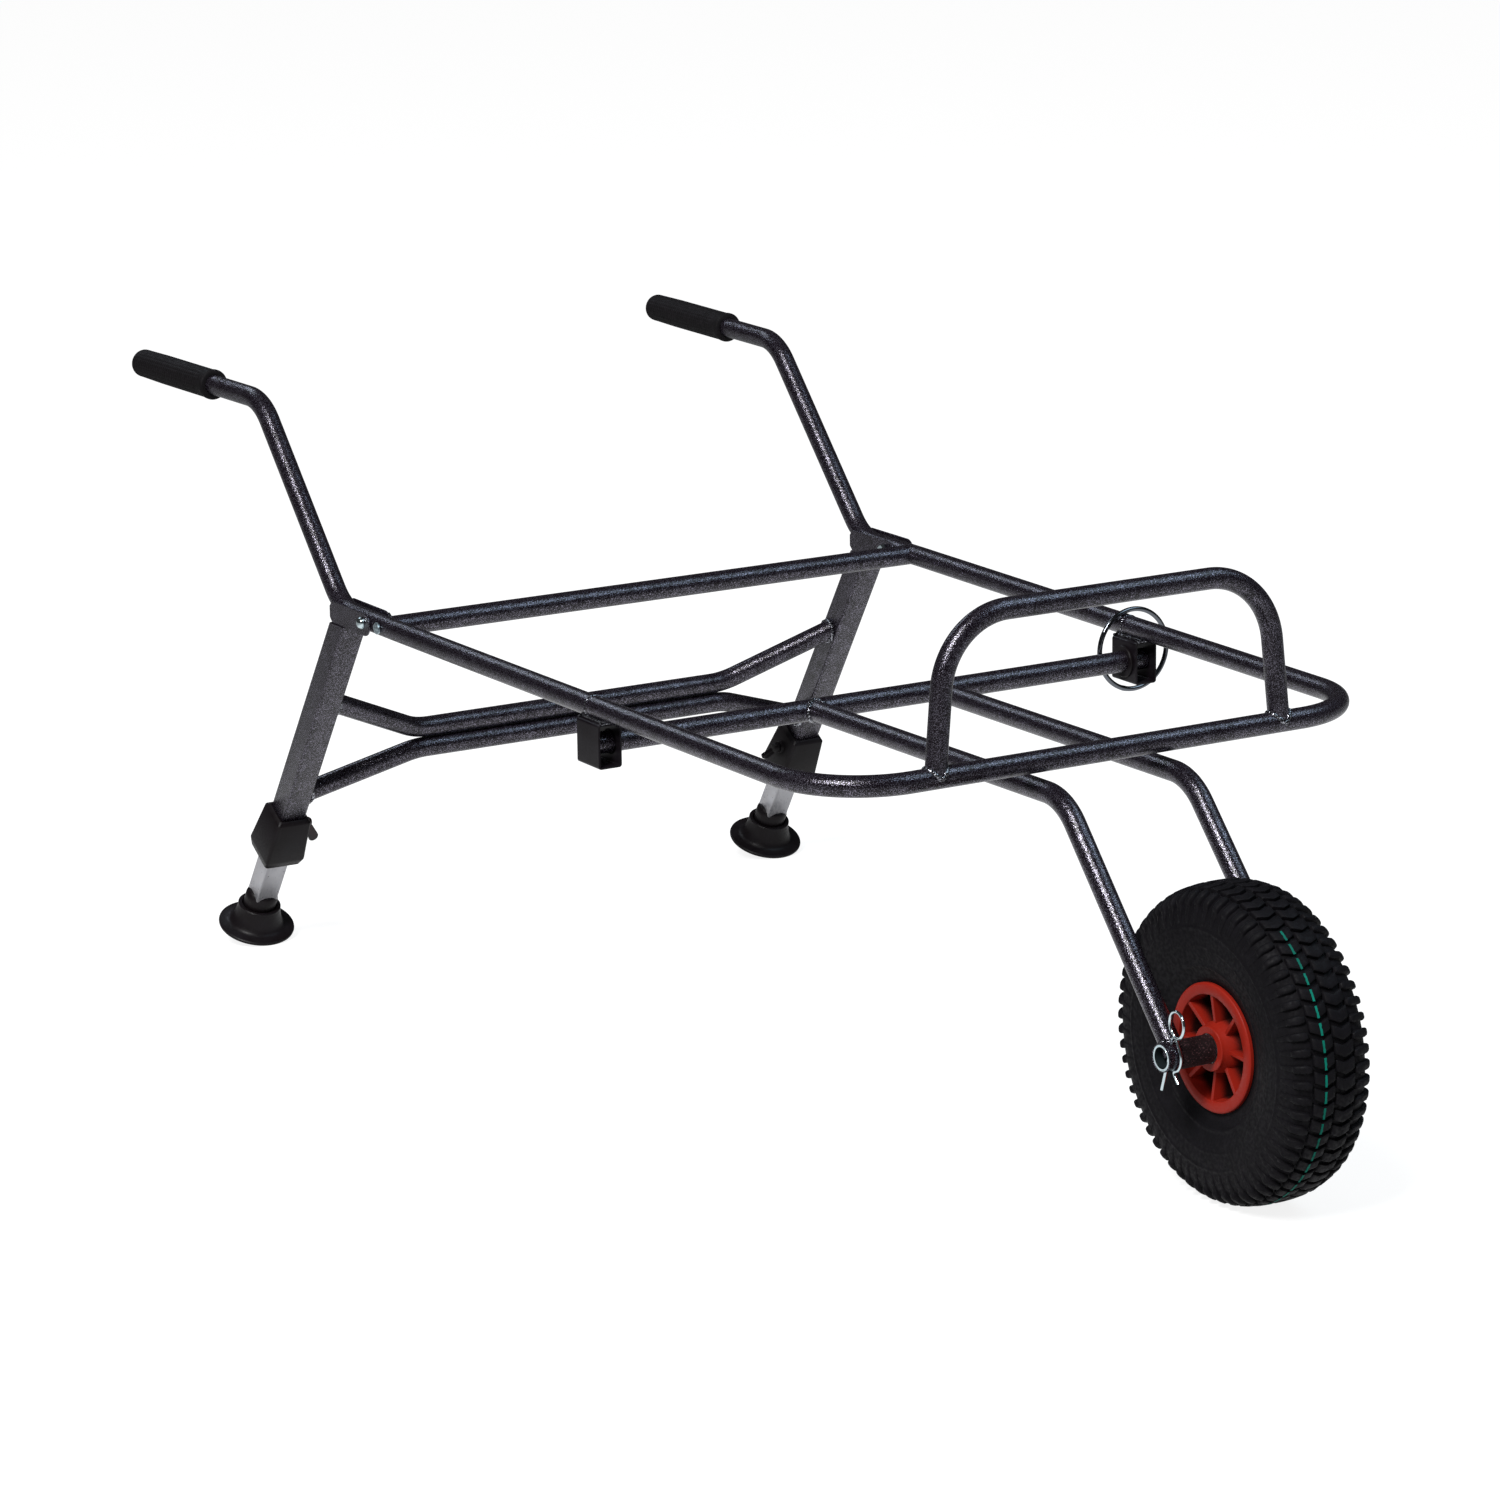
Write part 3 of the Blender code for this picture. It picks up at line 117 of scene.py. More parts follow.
def rail_half_width(y):
    share = (y - FRONT_Y) / (TOE_Y - FRONT_Y)
    return FRONT_HALF_WIDTH + (RAIL_HALF_WIDTH - FRONT_HALF_WIDTH) * min(share, 1.0)


def rail_height(y):
    return FRONT_Z + (y - FRONT_Y) * math.tan(RAIL_SLOPE)


def on_rail(sign, y):
    """Place on a rail's axis, up to its knee."""
    return at(sign * rail_half_width(y), y, rail_height(y))


ELBOW_Z = rail_height(KNEE_Y) + (ELBOW_Y - KNEE_Y) * math.tan(SHAFT_SLOPE)
HANDLE_END_Y = ELBOW_Y + HANDLE_LENGTH
HANDLE_END_Z = ELBOW_Z + HANDLE_LENGTH * math.tan(HANDLE_SLOPE)
ALONG_RAIL = Vector((0.0, math.cos(RAIL_SLOPE), math.sin(RAIL_SLOPE)))
ABOVE_RAIL = Vector((0.0, -math.sin(RAIL_SLOPE), math.cos(RAIL_SLOPE)))
ACROSS_LEG = Vector((0.0, math.cos(LEG_LEAN), math.sin(LEG_LEAN)))


# Materials
class Tree:
    """A node tree under construction."""

    def __init__(self, owner):
        owner.use_nodes = True
        self.nodes = owner.node_tree.nodes
        self.links = owner.node_tree.links

    def feed(self, node, output, inputs):
        """Set a node's inputs to values or to other nodes' outputs, and give one of its outputs."""
        for name, value in inputs.items():
            if isinstance(value, bpy.types.NodeSocket):
                self.links.new(value, node.inputs[name])
            else:
                node.inputs[name].default_value = value
        return node.outputs[output]

    def ramp(self, value, low, high, start=0.0, end=1.0, kind='SMOOTHSTEP'):
        node = self.nodes.new("ShaderNodeMapRange")
        node.interpolation_type = kind
        inputs = {"Value": value, "From Min": low, "From Max": high, "To Min": start, "To Max": end}
        return self.feed(node, "Result", inputs)

    def maths(self, operation, *values):
        node = self.nodes.new("ShaderNodeMath")
        node.operation = operation
        return self.feed(node, 0, dict(enumerate(values)))


class Look(Tree):
    """A procedural material under construction."""

    def __init__(self, name, slot, colour, roughness, metallic=0.0, specular=0.5):
        self.slot = slot
        self.material = bpy.data.materials.new(name)
        super().__init__(self.material)
        self.shader = self.nodes["Principled BSDF"]
        self.shader.inputs["Base Color"].default_value = (*colour, 1.0)
        self.shader.inputs["Roughness"].default_value = roughness
        self.shader.inputs["Metallic"].default_value = metallic
        self.shader.inputs["Specular IOR Level"].default_value = specular
        self.place = self.nodes.new("ShaderNodeTexCoord").outputs["Object"]

    def stretch(self, x, y, z):
        node = self.nodes.new("ShaderNodeMapping")
        return self.feed(node, "Vector", {"Vector": self.place, "Scale": (x, y, z)})

    def noise(self, scale, detail=2.0, roughness=0.5, place=None):
        inputs = {"Vector": place or self.place, "Scale": scale, "Detail": detail, "Roughness": roughness}
        return self.feed(self.nodes.new("ShaderNodeTexNoise"), "Fac", inputs)

    def cells(self, scale):
        node = self.nodes.new("ShaderNodeTexVoronoi")
        node.feature = 'SMOOTH_F1'
        return self.feed(node, "Distance", {"Vector": self.place, "Scale": scale})

    def mix(self, share, first, second):
        node = self.nodes.new("ShaderNodeMix")
        node.data_type = 'RGBA'
        first, second = [(*value, 1.0) if isinstance(value, tuple) else value for value in (first, second)]
        return self.feed(node, 2, {0: share, 6: first, 7: second})

    def drive(self, socket, value):
        self.links.new(value, self.shader.inputs[socket])

    def tint(self, share, first, second):
        self.drive("Base Color", self.mix(share, first, second))

    def gloss(self, value, low, high, start, end):
        self.drive("Roughness", self.ramp(value, low, high, start, end))

    def bump(self, height, strength, distance):
        inputs = {"Height": height, "Strength": strength, "Distance": distance}
        self.drive("Normal", self.feed(self.nodes.new("ShaderNodeBump"), "Normal", inputs))


def hammertone():
    """Dark glossy paint with fine hammered dimples, so that lights break up into sparkles."""
    look = Look("hammertone_paint", "hammertone_paint", (0.010, 0.009, 0.012), 0.24)
    grain = look.noise(1100.0, 1.5, 0.6)
    patch = look.maths('MULTIPLY', look.noise(70.0), 0.12)
    speck = look.ramp(look.maths('ADD', grain, patch), 0.61, 0.67)
    look.tint(speck, (0.0055, 0.0032, 0.0062), (0.30, 0.28, 0.35))
    look.drive("Metallic", speck)
    look.gloss(speck, 0.0, 1.0, 0.20, 0.30)
    look.shader.inputs["IOR"].default_value = 1.38
    look.bump(look.maths('ADD', grain, look.cells(720.0)), 0.36, 0.0005)
    return look


def weld_highlight_paint():
    """Paint over weld beads, brighter and more metallic than the frame paint as painted highlight; their
    ripples catch every light.
    """
    look = Look("weld_highlight_paint", "hammertone_paint", (0.2, 0.2, 0.22), 0.16, 0.9)
    grain = look.noise(650.0, 1.5, 0.6)
    # Bright metallic patches: painted highlight on the beads.
    look.tint(look.ramp(grain, 0.48, 0.58), (0.02, 0.018, 0.024), (0.50, 0.51, 0.56))
    look.bump(grain, 0.7, 0.0008)
    return look


def rough_coating():
    """Matt black coating with brown specks."""
    look = Look("rough_spacer", "black_plastic", (0.006, 0.004, 0.005), 0.6, specular=0.3)
    grain = look.noise(800.0, 2.0, 0.6)
    look.tint(look.ramp(grain, 0.58, 0.70), (0.010, 0.005, 0.006), (0.17, 0.08, 0.09))
    look.bump(grain, 0.9, 0.0004)
    return look


def bright_metal(name, slot, colour, roughness):
    look = Look(name, slot, colour, roughness, 1.0)
    look.gloss(look.noise(140.0, 3.0), 0.3, 0.7, roughness * 0.7, roughness * 1.5)
    look.bump(look.noise(900.0), 0.05, 0.0002)
    return look


def red_plastic():
    """Red moulding, darker deep in its pockets with painted shade that fine noise breaks up."""
    look = Look("red_plastic", "red_plastic", (0.28, 0.016, 0.007), 0.42, specular=0.18)
    across = look.feed(look.nodes.new("ShaderNodeSeparateXYZ"), "X", {0: look.place})
    # Painted shade: the colour darkens towards the middle plane, deep between the ribs.
    depth = look.ramp(look.maths('ABSOLUTE', across), 0.012, 0.031)
    pocket_shade = look.maths('ADD', depth, look.maths('MULTIPLY', look.noise(900.0), 0.42))
    unshaded_red = look.mix(look.noise(35.0, 3.0), (0.30, 0.014, 0.007), (0.37, 0.021, 0.010))
    look.tint(look.ramp(pocket_shade, 0.35, 1.15), (0.022, 0.006, 0.005), unshaded_red)
    look.gloss(look.noise(500.0), 0.3, 0.7, 0.36, 0.50)
    look.bump(look.noise(1500.0), 0.10, 0.0002)
    return look


def flat_zinc():
    """Old zinc with a mottled bloom."""
    look = Look("flat_zinc", "bright_zinc", (0.40, 0.48, 0.52), 0.36, 0.8)
    bloom = look.noise(420.0, 2.0, 0.6)
    look.tint(look.ramp(bloom, 0.40, 0.60), (0.16, 0.21, 0.24), (0.50, 0.60, 0.64))
    look.bump(bloom, 0.25, 0.0004)
    return look


def aluminium():
    """Drawn metal with fine scratches along it and a few dark pits."""
    look = Look("drawn_aluminium", "aluminium", (0.72, 0.73, 0.76), 0.38, 0.6)
    scratch = look.noise(120.0, 3.0, 0.7, look.stretch(12.0, 1.0, 1.0))
    pit = look.ramp(look.noise(330.0, 1.0), 0.71, 0.75)
    base = look.mix(look.ramp(look.noise(45.0, 3.0), 0.35, 0.7), (0.42, 0.42, 0.46), (0.58, 0.58, 0.62))
    worn = look.mix(look.ramp(scratch, 0.30, 0.70), base, (0.62, 0.61, 0.63))
    look.tint(pit, worn, (0.16, 0.16, 0.18))
    look.gloss(scratch, 0.3, 0.7, 0.30, 0.50)
    look.bump(scratch, 0.20, 0.0003)
    return look


def rubber(name, slot, dark, light, scale):
    look = Look(name, slot, dark, 0.7, specular=0.16)
    look.tint(look.ramp(look.noise(scale * 0.12, 4.0, 0.6), 0.42, 0.72), dark, light)
    look.gloss(look.noise(scale * 0.4), 0.3, 0.7, 0.55, 0.80)
    look.bump(look.noise(scale, 3.0), 0.2, 0.0003)
    return look


def moulded(name, slot, dark, light, roughness, specular=0.18):
    look = Look(name, slot, dark, roughness, specular=specular)
    look.tint(look.ramp(look.noise(35.0, 3.0), 0.35, 0.7), dark, light)
    look.gloss(look.noise(500.0), 0.3, 0.7, roughness * 0.85, roughness * 1.2)
    look.bump(look.noise(1500.0), 0.10, 0.0002)
    return look


PAINT = hammertone()
WELD = weld_highlight_paint()
RING_STEEL = bright_metal("ring_steel", "bright_zinc", (0.16, 0.17, 0.19), 0.12)
ZINC = bright_metal("bright_zinc", "bright_zinc", (0.70, 0.82, 0.86), 0.12)
DULL_ZINC = flat_zinc()
STEEL = bright_metal("bare_steel", "bare_steel", (0.55, 0.55, 0.56), 0.34)
ALUMINIUM = aluminium()
GRIP = rubber("grip_rubber", "black_rubber", (0.006, 0.005, 0.006), (0.011, 0.009, 0.011), 1500.0)
TYRE = rubber("tyre_rubber", "tyre_rubber", (0.0034, 0.0028, 0.0042), (0.0058, 0.0049, 0.0070), 700.0)
SPACER = rough_coating()
PLASTIC = moulded("black_plastic", "black_plastic", (0.006, 0.004, 0.005), (0.010, 0.008, 0.010), 0.42)
# Sockets: a matt, darker copy of the frame paint, standing in as painted shade.
SHADED_SOCKET_PAINT = moulded("socket_shaded_paint", "hammertone_paint", (0.006, 0.004, 0.006), (0.012, 0.010, 0.013), 0.36)
RED = red_plastic()
# Dark sheet inside the zinc axle's bore: painted shade.
SHADED_BORE = moulded("axle_bore_shade", "bright_zinc", (0.008, 0.013, 0.015), (0.012, 0.019, 0.021), 0.60)
STRIPE = moulded("stripe_paint", "tyre_rubber", (0.0, 0.11, 0.08), (0.0, 0.21, 0.15), 0.65)
KNOB = moulded("wing_screw_plastic", "black_plastic", (0.006, 0.010, 0.016), (0.060, 0.008, 0.010), 0.20, 0.5)


# Outlines
def zero_to_one(value):
    return min(max(value, 0.0), 1.0)


def spread(low, high, count):
    return [low + (high - low) * step / (count - 1) for step in range(count)]


def full_turn(count):
    return [math.tau * index / count for index in range(count)]


def neighbours(path, closed=False):
    """Each point of a path between the ones before and after it."""
    before = [path[-1 if closed else 0], *path[:-1]]
    after = [*path[1:], path[0 if closed else -1]]
    return zip(before, path, after)


def arc(centre, radii, start, end, steps):
    """Points of an ellipse's arc, from one angle in degrees to another."""
    angles = [math.radians(angle) for angle in spread(start, end, steps + 1)]
    return [(centre[0] + radii[0] * math.cos(a), centre[1] + radii[1] * math.sin(a)) for a in angles]


def circle(radius, height, sides=TUBE_SIDES):
    return [Vector((radius * math.cos(a), radius * math.sin(a), height)) for a in full_turn(sides)]


def square(size, corner, height, across=None, steps=6):
    """Rounded rectangle with arcs at its corners."""
    half_x = size / 2.0 - corner
    half_y = (across or size) / 2.0 - corner
    ring = []
    for quarter, (x, y) in enumerate(((1, 1), (-1, 1), (-1, -1), (1, -1))):
        start = 90.0 * quarter
        turn = arc((x * half_x, y * half_y), (corner, corner), start, start + 90.0, steps)
        ring += [Vector((*point, height)) for point in turn]
    return ring


def rounded_path(corners, radius, steps=24):
    """Points of a bent tube's axis: straight runs between corners, arcs of one radius at them."""
    path = [Vector(corners[0])]
    for before, corner, after in zip(corners, corners[1:], corners[2:]):
        back = (before - corner).normalized()
        ahead = (after - corner).normalized()
        turn = math.pi - back.angle(ahead)
        if turn < math.radians(3.0):
            path.append(corner)
            continue
        reach = radius * math.tan(turn / 2.0)
        centre = corner + (back + ahead).normalized() * radius / math.cos(turn / 2.0)
        start = corner + back * reach - centre
        axis = start.cross(corner + ahead * reach - centre).normalized()
        for index in range(steps + 1):
            path.append(centre + Matrix.Rotation(turn * index / steps, 3, axis) @ start)
    path.append(Vector(corners[-1]))
    return path


def smooth_path(points, steps=8):
    """Smooth curve through given points."""
    path = []
    run = [points[0], *points, points[-1]]
    for p0, p1, p2, p3 in zip(run, run[1:], run[2:], run[3:]):
        for step in range(steps):
            t = step / steps
            path.append(0.5 * ((2.0 * p1) + (p2 - p0) * t + (2.0 * p0 - 5.0 * p1 + 4.0 * p2 - p3) * t ** 2
                               + (3.0 * p1 - p0 - 3.0 * p2 + p3) * t ** 3))
    path.append(points[-1])
    return path


# Mesh building
def frame_along(origin, direction, across):
    """Matrix whose local Z runs along direction and whose local X stays near across."""
    z_axis = direction.normalized()
    y_axis = z_axis.cross(across).normalized()
    x_axis = y_axis.cross(z_axis)
    matrix = Matrix((x_axis, y_axis, z_axis)).transposed().to_4x4()
    matrix.translation = origin
    return matrix


def x_frame(place, sign, out):
    """Frame that looks outward along X, at a distance from the middle plane."""
    return frame_along(Vector((sign * out, place.y, place.z)), X_AXIS * sign, Z_AXIS)


def about_axle(angle):
    return Matrix.Rotation(angle, 3, 'X')


def placed(place, rings):
    return [[place @ point for point in ring] for ring in rings]


def skin(rings, closed=False, bm=None):
    """Skin through equal rings, capped unless the run is closed, added to bm or in a new mesh."""
    if bm is None:
        bm = bmesh.new()
    loops = [[bm.verts.new(point) for point in ring] for ring in rings]
    pairs = list(zip(loops, loops[1:]))
    if closed:
        pairs.append((loops[-1], loops[0]))
    for first, second in pairs:
        for index in range(len(first)):
            after = (index + 1) % len(first)
            bm.faces.new((first[index], first[after], second[after], second[index]))
    if not closed:
        bm.faces.new(loops[0])
        bm.faces.new(loops[-1])
    return bm


def turned(place, profile, sides=64, closed=False, bm=None):
    """Turned shape from a profile of radius and height."""
    return skin(placed(place, [circle(radius, height, sides) for radius, height in profile]), closed, bm)


def path_rings(path, radius, across, sides):
    rings = []
    for before, point, after in neighbours(path):
        rings += placed(frame_along(point, after - before, across), [circle(radius, 0.0, sides)])
    return rings


def tube(path, diameter, wall, across, sides=TUBE_SIDES):
    """Hollow round tube with slightly rounded ends. A second ring near each end keeps its side straight."""
    start = (path[1] - path[0]).normalized() * LIP
    end = (path[-2] - path[-1]).normalized() * LIP
    first = [path[0], path[0] + start, path[0] + start * 5.0]
    last = [path[-1] + end * 5.0, path[-1] + end, path[-1]]
    path = first + path[1:-1] + last
    outer = path_rings(path, diameter / 2.0, across, sides)
    edges = path_rings(path, diameter / 2.0 - LIP * 0.7, across, sides)
    outer = [edges[0], *outer[1:-1], edges[-1]]
    inner = path_rings(path, diameter / 2.0 - wall, across, sides)
    return skin(outer + inner[::-1], closed=True)


def cross_bar(middle, half, diameter, wall, sides=TUBE_SIDES):
    """Straight tube along X."""
    return tube([middle - X_AXIS * half, middle + X_AXIS * half], diameter, wall, Z_AXIS, sides)


def bead(bm, loop, radius=WELD_RADIUS, closed=True, seed=0.0):
    """Weld bead along a run of points, rippled like a hand weld."""
    rings = []
    for before, point, after in neighbours(loop, closed):
        ripple = noise.noise(point * 420.0 + Vector((seed, 0.0, 0.0)))
        direction = after - before
        across = Z_AXIS if abs(direction.normalized().z) < 0.8 else X_AXIS
        ring = circle(radius * (1.0 + 0.45 * ripple), 0.0, 10)
        rings += placed(frame_along(point, direction, across), [ring])
    skin(rings, closed, bm)


def weld_on_tube(bm, tip, bend, cross_radius, seed=0.0):
    """Bead where a thin tube that comes from bend meets the tube along X whose axis holds the tip."""
    direction = (tip - bend).normalized()
    place = frame_along(tip - direction * WELD_RUN, direction, X_AXIS)
    run = Vector((0.0, direction.y, direction.z))
    a = run.dot(run)
    loop = []
    for corner in circle(THIN_TUBE / 2.0, 0.0, 72):
        start = place @ corner - tip
        start.x = 0.0
        b = 2.0 * start.dot(run)
        c = start.dot(start) - cross_radius ** 2
        root = math.sqrt(max(b * b - 4.0 * a * c, 0.0))
        loop.append(place @ corner + direction * ((-b - root) / (2.0 * a)))
    bead(bm, loop, seed=seed)


def weld_on_face(bm, tip, bend, face, normal, seed=0.0):
    """Bead where a thick tube that comes from bend meets a flat face."""
    direction = (tip - bend).normalized()
    place = frame_along(tip - direction * WELD_RUN, direction, ACROSS_LEG)
    loop = []
    for corner in circle(TUBE / 2.0, 0.0, 72):
        start = place @ corner
        loop.append(start + direction * ((face - start).dot(normal) / direction.dot(normal)))
    bead(bm, loop, seed=seed)


def trim(bm, tip, reach, direction, seat, normal):
    """Slide the vertices within reach of a tube's tip along the tube onto a plane."""
    for vertex in bm.verts:
        if (vertex.co - tip).length < reach:
            vertex.co += direction * ((seat - vertex.co).dot(normal) / direction.dot(normal))


def show(name, bm, look):
    """Put a finished mesh into the scene."""
    mesh = bpy.data.meshes.new(name)
    bm.to_mesh(mesh)
    bm.free()
    mesh.materials.append(look.material)
    made = bpy.data.objects.new(name, mesh)
    bpy.context.scene.collection.objects.link(made)
    return made


def piece(name, bm, look, body, *nodes, sharp=38.0, bevel=0.0):
    """Finish a mesh as a piece that rides on a body and stands for the named nodes."""
    bmesh.ops.recalc_face_normals(bm, faces=bm.faces)
    made = show(name, bm, look)
    made.data.shade_smooth()
    made.data.set_sharp_from_angle(angle=math.radians(sharp))
    if bevel:
        rounding = made.modifiers.new("rounding", 'BEVEL')
        rounding.width = bevel
        rounding.segments = 3
        rounding.limit_method = 'ANGLE'
        rounding.angle_limit = math.radians(sharp)
        rounding.harden_normals = True
    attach(made, body)
    if nodes:
        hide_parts(*nodes)


# Main frame
def rail_corners(sign):
    elbow = at(sign * RAIL_HALF_WIDTH, ELBOW_Y, ELBOW_Z)
    end = at(sign * HANDLE_HALF_WIDTH, HANDLE_END_Y, HANDLE_END_Z)
    return [on_rail(sign, SEAM_Y), on_rail(sign, TOE_Y), on_rail(sign, KNEE_Y), elbow, end]


GRIP_LENGTH = 0.178
GRIP_RADIUS = 0.0161
GRIP_TAPER = 0.0008
GRIP_TAPER_LENGTH = 0.060
GRIP_BORE_LENGTH = 0.028
GRIP_NOSE = 0.0075
GRIP_NOSE_RADIUS = 0.0055
GRIP_END_WALL = 0.006
GRIP_FLANGE_RADIUS = 0.0167
GRIP_FLANGE_LENGTH = 0.009
GRIP_FLANGE_ROUNDING = 0.0022
GRIP_RIB_HEIGHT = 0.0006
GRIP_ROWS = 22
GRIP_RIBS = 40
GRIP_PLAIN_NOSE = 0.009
GRIP_PLAIN_END = 0.012
GRIP_RUN_OUT = 0.004


def make_rail(side, sign):
    """Side tube, and the folded rim where it takes in the front tube."""
    outer = TUBE / 2.0
    rim = [(THIN_TUBE / 2.0, 0.0), (THIN_TUBE / 2.0, -0.0006), (outer - 0.0003, -0.0006)]
    rim += [(outer + 0.0002, -0.0002), (outer + 0.0002, 0.0008), (outer, 0.0010)]
    corners = rail_corners(sign)
    corners[-1] += (corners[-2] - corners[-1]).normalized() * GRIP_END_WALL
    rail = tube(rounded_path(corners, RAIL_BEND_RADIUS), TUBE, RAIL_WALL, X_AXIS)
    piece("rail_tube_" + side, rail, PAINT, "frame", "handle_rail_" + side)
    place = frame_along(corners[0], corners[1] - corners[0], X_AXIS)
    # The rim wears the bright weld paint: painted highlight.
    piece("rail_end_" + side, turned(place, rim, closed=True), WELD, "frame")


def grip_radius(along):
    """Radius of the plain grip at a distance from its rounded end."""
    plain = GRIP_RADIUS - GRIP_TAPER * max(1.0 - along / GRIP_TAPER_LENGTH, 0.0)
    if along < GRIP_NOSE:
        share = 1.0 - along / GRIP_NOSE
        return GRIP_NOSE_RADIUS + (plain - GRIP_NOSE_RADIUS) * math.sqrt(max(1.0 - share ** 2, 0.0))
    left = GRIP_LENGTH - along
    if left < GRIP_FLANGE_ROUNDING:
        rise = math.sqrt(max(GRIP_FLANGE_ROUNDING ** 2 - (GRIP_FLANGE_ROUNDING - left) ** 2, 0.0))
        return GRIP_FLANGE_RADIUS - GRIP_FLANGE_ROUNDING + rise
    if left < GRIP_FLANGE_LENGTH:
        share = min((GRIP_FLANGE_LENGTH - left) / GRIP_RUN_OUT, 1.0)
        return GRIP_RADIUS + (GRIP_FLANGE_RADIUS - GRIP_RADIUS) * share
    return plain


def make_grip(side, sign):
    """Rubber grip with rows of short ribs, a rounded end and a flared collar."""
    rings = []
    for along in spread(0.0, GRIP_LENGTH, GRIP_RIBS * 6 + 1):
        ribbed = zero_to_one((along - GRIP_PLAIN_NOSE) / GRIP_RUN_OUT)
        ribbed *= zero_to_one((GRIP_LENGTH - GRIP_PLAIN_END - along) / GRIP_RUN_OUT)
        wave = 0.5 - 0.5 * math.cos(math.tau * GRIP_RIBS * along / GRIP_LENGTH)
        ring = []
        for angle in full_turn(GRIP_ROWS * 8):
            row = 0.5 - 0.5 * math.cos(GRIP_ROWS * angle)
            depth = 1.0 - min(row * 2.2, 1.0) * (0.35 + 0.65 * wave)
            radius = grip_radius(along) - GRIP_RIB_HEIGHT * ribbed * depth
            ring.append(Vector((radius * math.cos(angle), radius * math.sin(angle), along)))
        rings.append(ring)
    for along in (GRIP_LENGTH, GRIP_LENGTH - GRIP_BORE_LENGTH):
        rings.append(circle(TUBE / 2.0 + 0.0002, along, GRIP_ROWS * 8))
    corners = rail_corners(sign)
    place = frame_along(corners[-1], corners[-2] - corners[-1], X_AXIS)
    piece("grip_rubber_" + side, skin(placed(place, rings)), GRIP, "frame", "grip_" + side, sharp=60.0)


def make_front():
    """Front tube, the hoop on it and the hoop's welds."""
    plugs = [on_rail(sign, SEAM_Y + LOOP_PLUG_LENGTH) for _, sign in SIDES]
    corners = [at(sign * FRONT_HALF_WIDTH, FRONT_Y, FRONT_Z) for _, sign in SIDES]
    path = rounded_path([plugs[0], *corners, plugs[1]], FRONT_CORNER_RADIUS, 32)
    piece("front_loop_tube", tube(path, THIN_TUBE, RAIL_WALL, Z_AXIS), PAINT, "frame", "front_loop")
    feet = [at(sign * HOOP_FOOT_HALF, FRONT_Y, FRONT_Z) for _, sign in SIDES]
    shoulders = [at(sign * HOOP_TOP_HALF, FRONT_Y, FRONT_Z + HOOP_HEIGHT) for _, sign in SIDES]
    path = rounded_path([feet[0], *shoulders, feet[1]], HOOP_CORNER_RADIUS, 32)
    piece("hoop_tube", tube(path, THIN_TUBE, TUBE_WALL, Y_AXIS), PAINT, "frame", "front_hoop")
    welds = bmesh.new()
    for foot, shoulder in zip(feet, shoulders):
        weld_on_tube(welds, foot, shoulder, THIN_TUBE / 2.0, foot.x)
    piece("hoop_welds", welds, WELD, "frame", sharp=60.0)


SOCKET_LENGTH = 0.0430
SOCKET_WIDTH = 0.0260
SOCKET_HEIGHT = 0.0450
SOCKET_WALL = 0.0020
SOCKET_CORNER = 0.0030
SOCKET_BORE_CORNER = 0.0012
SOCKET_EDGE = 0.0005
SOCKET_EDGE_CUT = 0.0008
BUSH_RADIUS = 0.0166
BUSH_SHANK = 0.0129
SEAM_ABOVE = 0.0237
SEAM_ACROSS = 0.0068
SEAM_RADIUS = 0.0019
END_SEAM_HALF = 0.0108
END_SEAM_RADIUS = 0.0014


def socket_welds(place):
    """Beads between a socket and its rail: one along each side and one across each end."""
    welds = bmesh.new()
    half = SOCKET_LENGTH / 2.0
    for across in (-SEAM_ACROSS, SEAM_ACROSS):
        loop = [place @ Vector((SEAM_ABOVE, across, along)) for along in spread(-half, half, 21)]
        bead(welds, loop, SEAM_RADIUS, closed=False, seed=across * 900.0)
    for end in (-1.0, 1.0):
        edge = place @ Vector((SOCKET_HEIGHT / 2.0, 0.0, end * half))
        loop = [edge + Vector((across, 0.0, 0.0006)) for across in spread(-END_SEAM_HALF, END_SEAM_HALF, 21)]
        bead(welds, loop, END_SEAM_RADIUS, closed=False, seed=end)
    return welds


def make_socket(side, sign):
    """Box tube socket under the rail, its bush and its welds."""
    hang = TUBE / 2.0 + SOCKET_HEIGHT / 2.0 + GAP
    half = SOCKET_LENGTH / 2.0
    shoulder = half - SOCKET_EDGE
    stations = ((-half, SOCKET_EDGE_CUT), (-shoulder, 0.0), (shoulder, 0.0), (half, SOCKET_EDGE_CUT))
    rings = [square(SOCKET_HEIGHT - cut, SOCKET_CORNER, end, SOCKET_WIDTH - cut) for end, cut in stations]
    walls = 2.0 * SOCKET_WALL
    for end in (half, -half):
        rings.append(square(SOCKET_HEIGHT - walls, SOCKET_BORE_CORNER, end, SOCKET_WIDTH - walls))
    bore = TUBE / 2.0 + GAP
    profile = [(bore, -0.0030), (BUSH_RADIUS - 0.0008, -0.0030), (BUSH_RADIUS, -0.0022), (BUSH_RADIUS, -GAP)]
    profile += [(BUSH_SHANK, -GAP), (BUSH_SHANK, SOCKET_WALL), (bore, SOCKET_WALL)]
    rail = on_rail(sign, FOLD.y - AXLE.y)
    place = frame_along(rail, ALONG_RAIL, Z_AXIS)
    place.translation = place @ (X_AXIS * -hang)
    box = skin(placed(place, rings), closed=True)
    # The box wears the darker copy of the frame paint: painted shade.
    piece("socket_box_" + side, box, SHADED_SOCKET_PAINT, "frame", "fork_socket_" + side)
    bush = turned(x_frame(FOLD, sign, abs(rail.x) - SOCKET_WIDTH / 2.0), profile, closed=True)
    piece("bush_" + side, bush, PLASTIC, "frame", "fork_bush_" + side)
    piece("socket_welds_" + side, socket_welds(place), WELD, "frame", sharp=60.0)


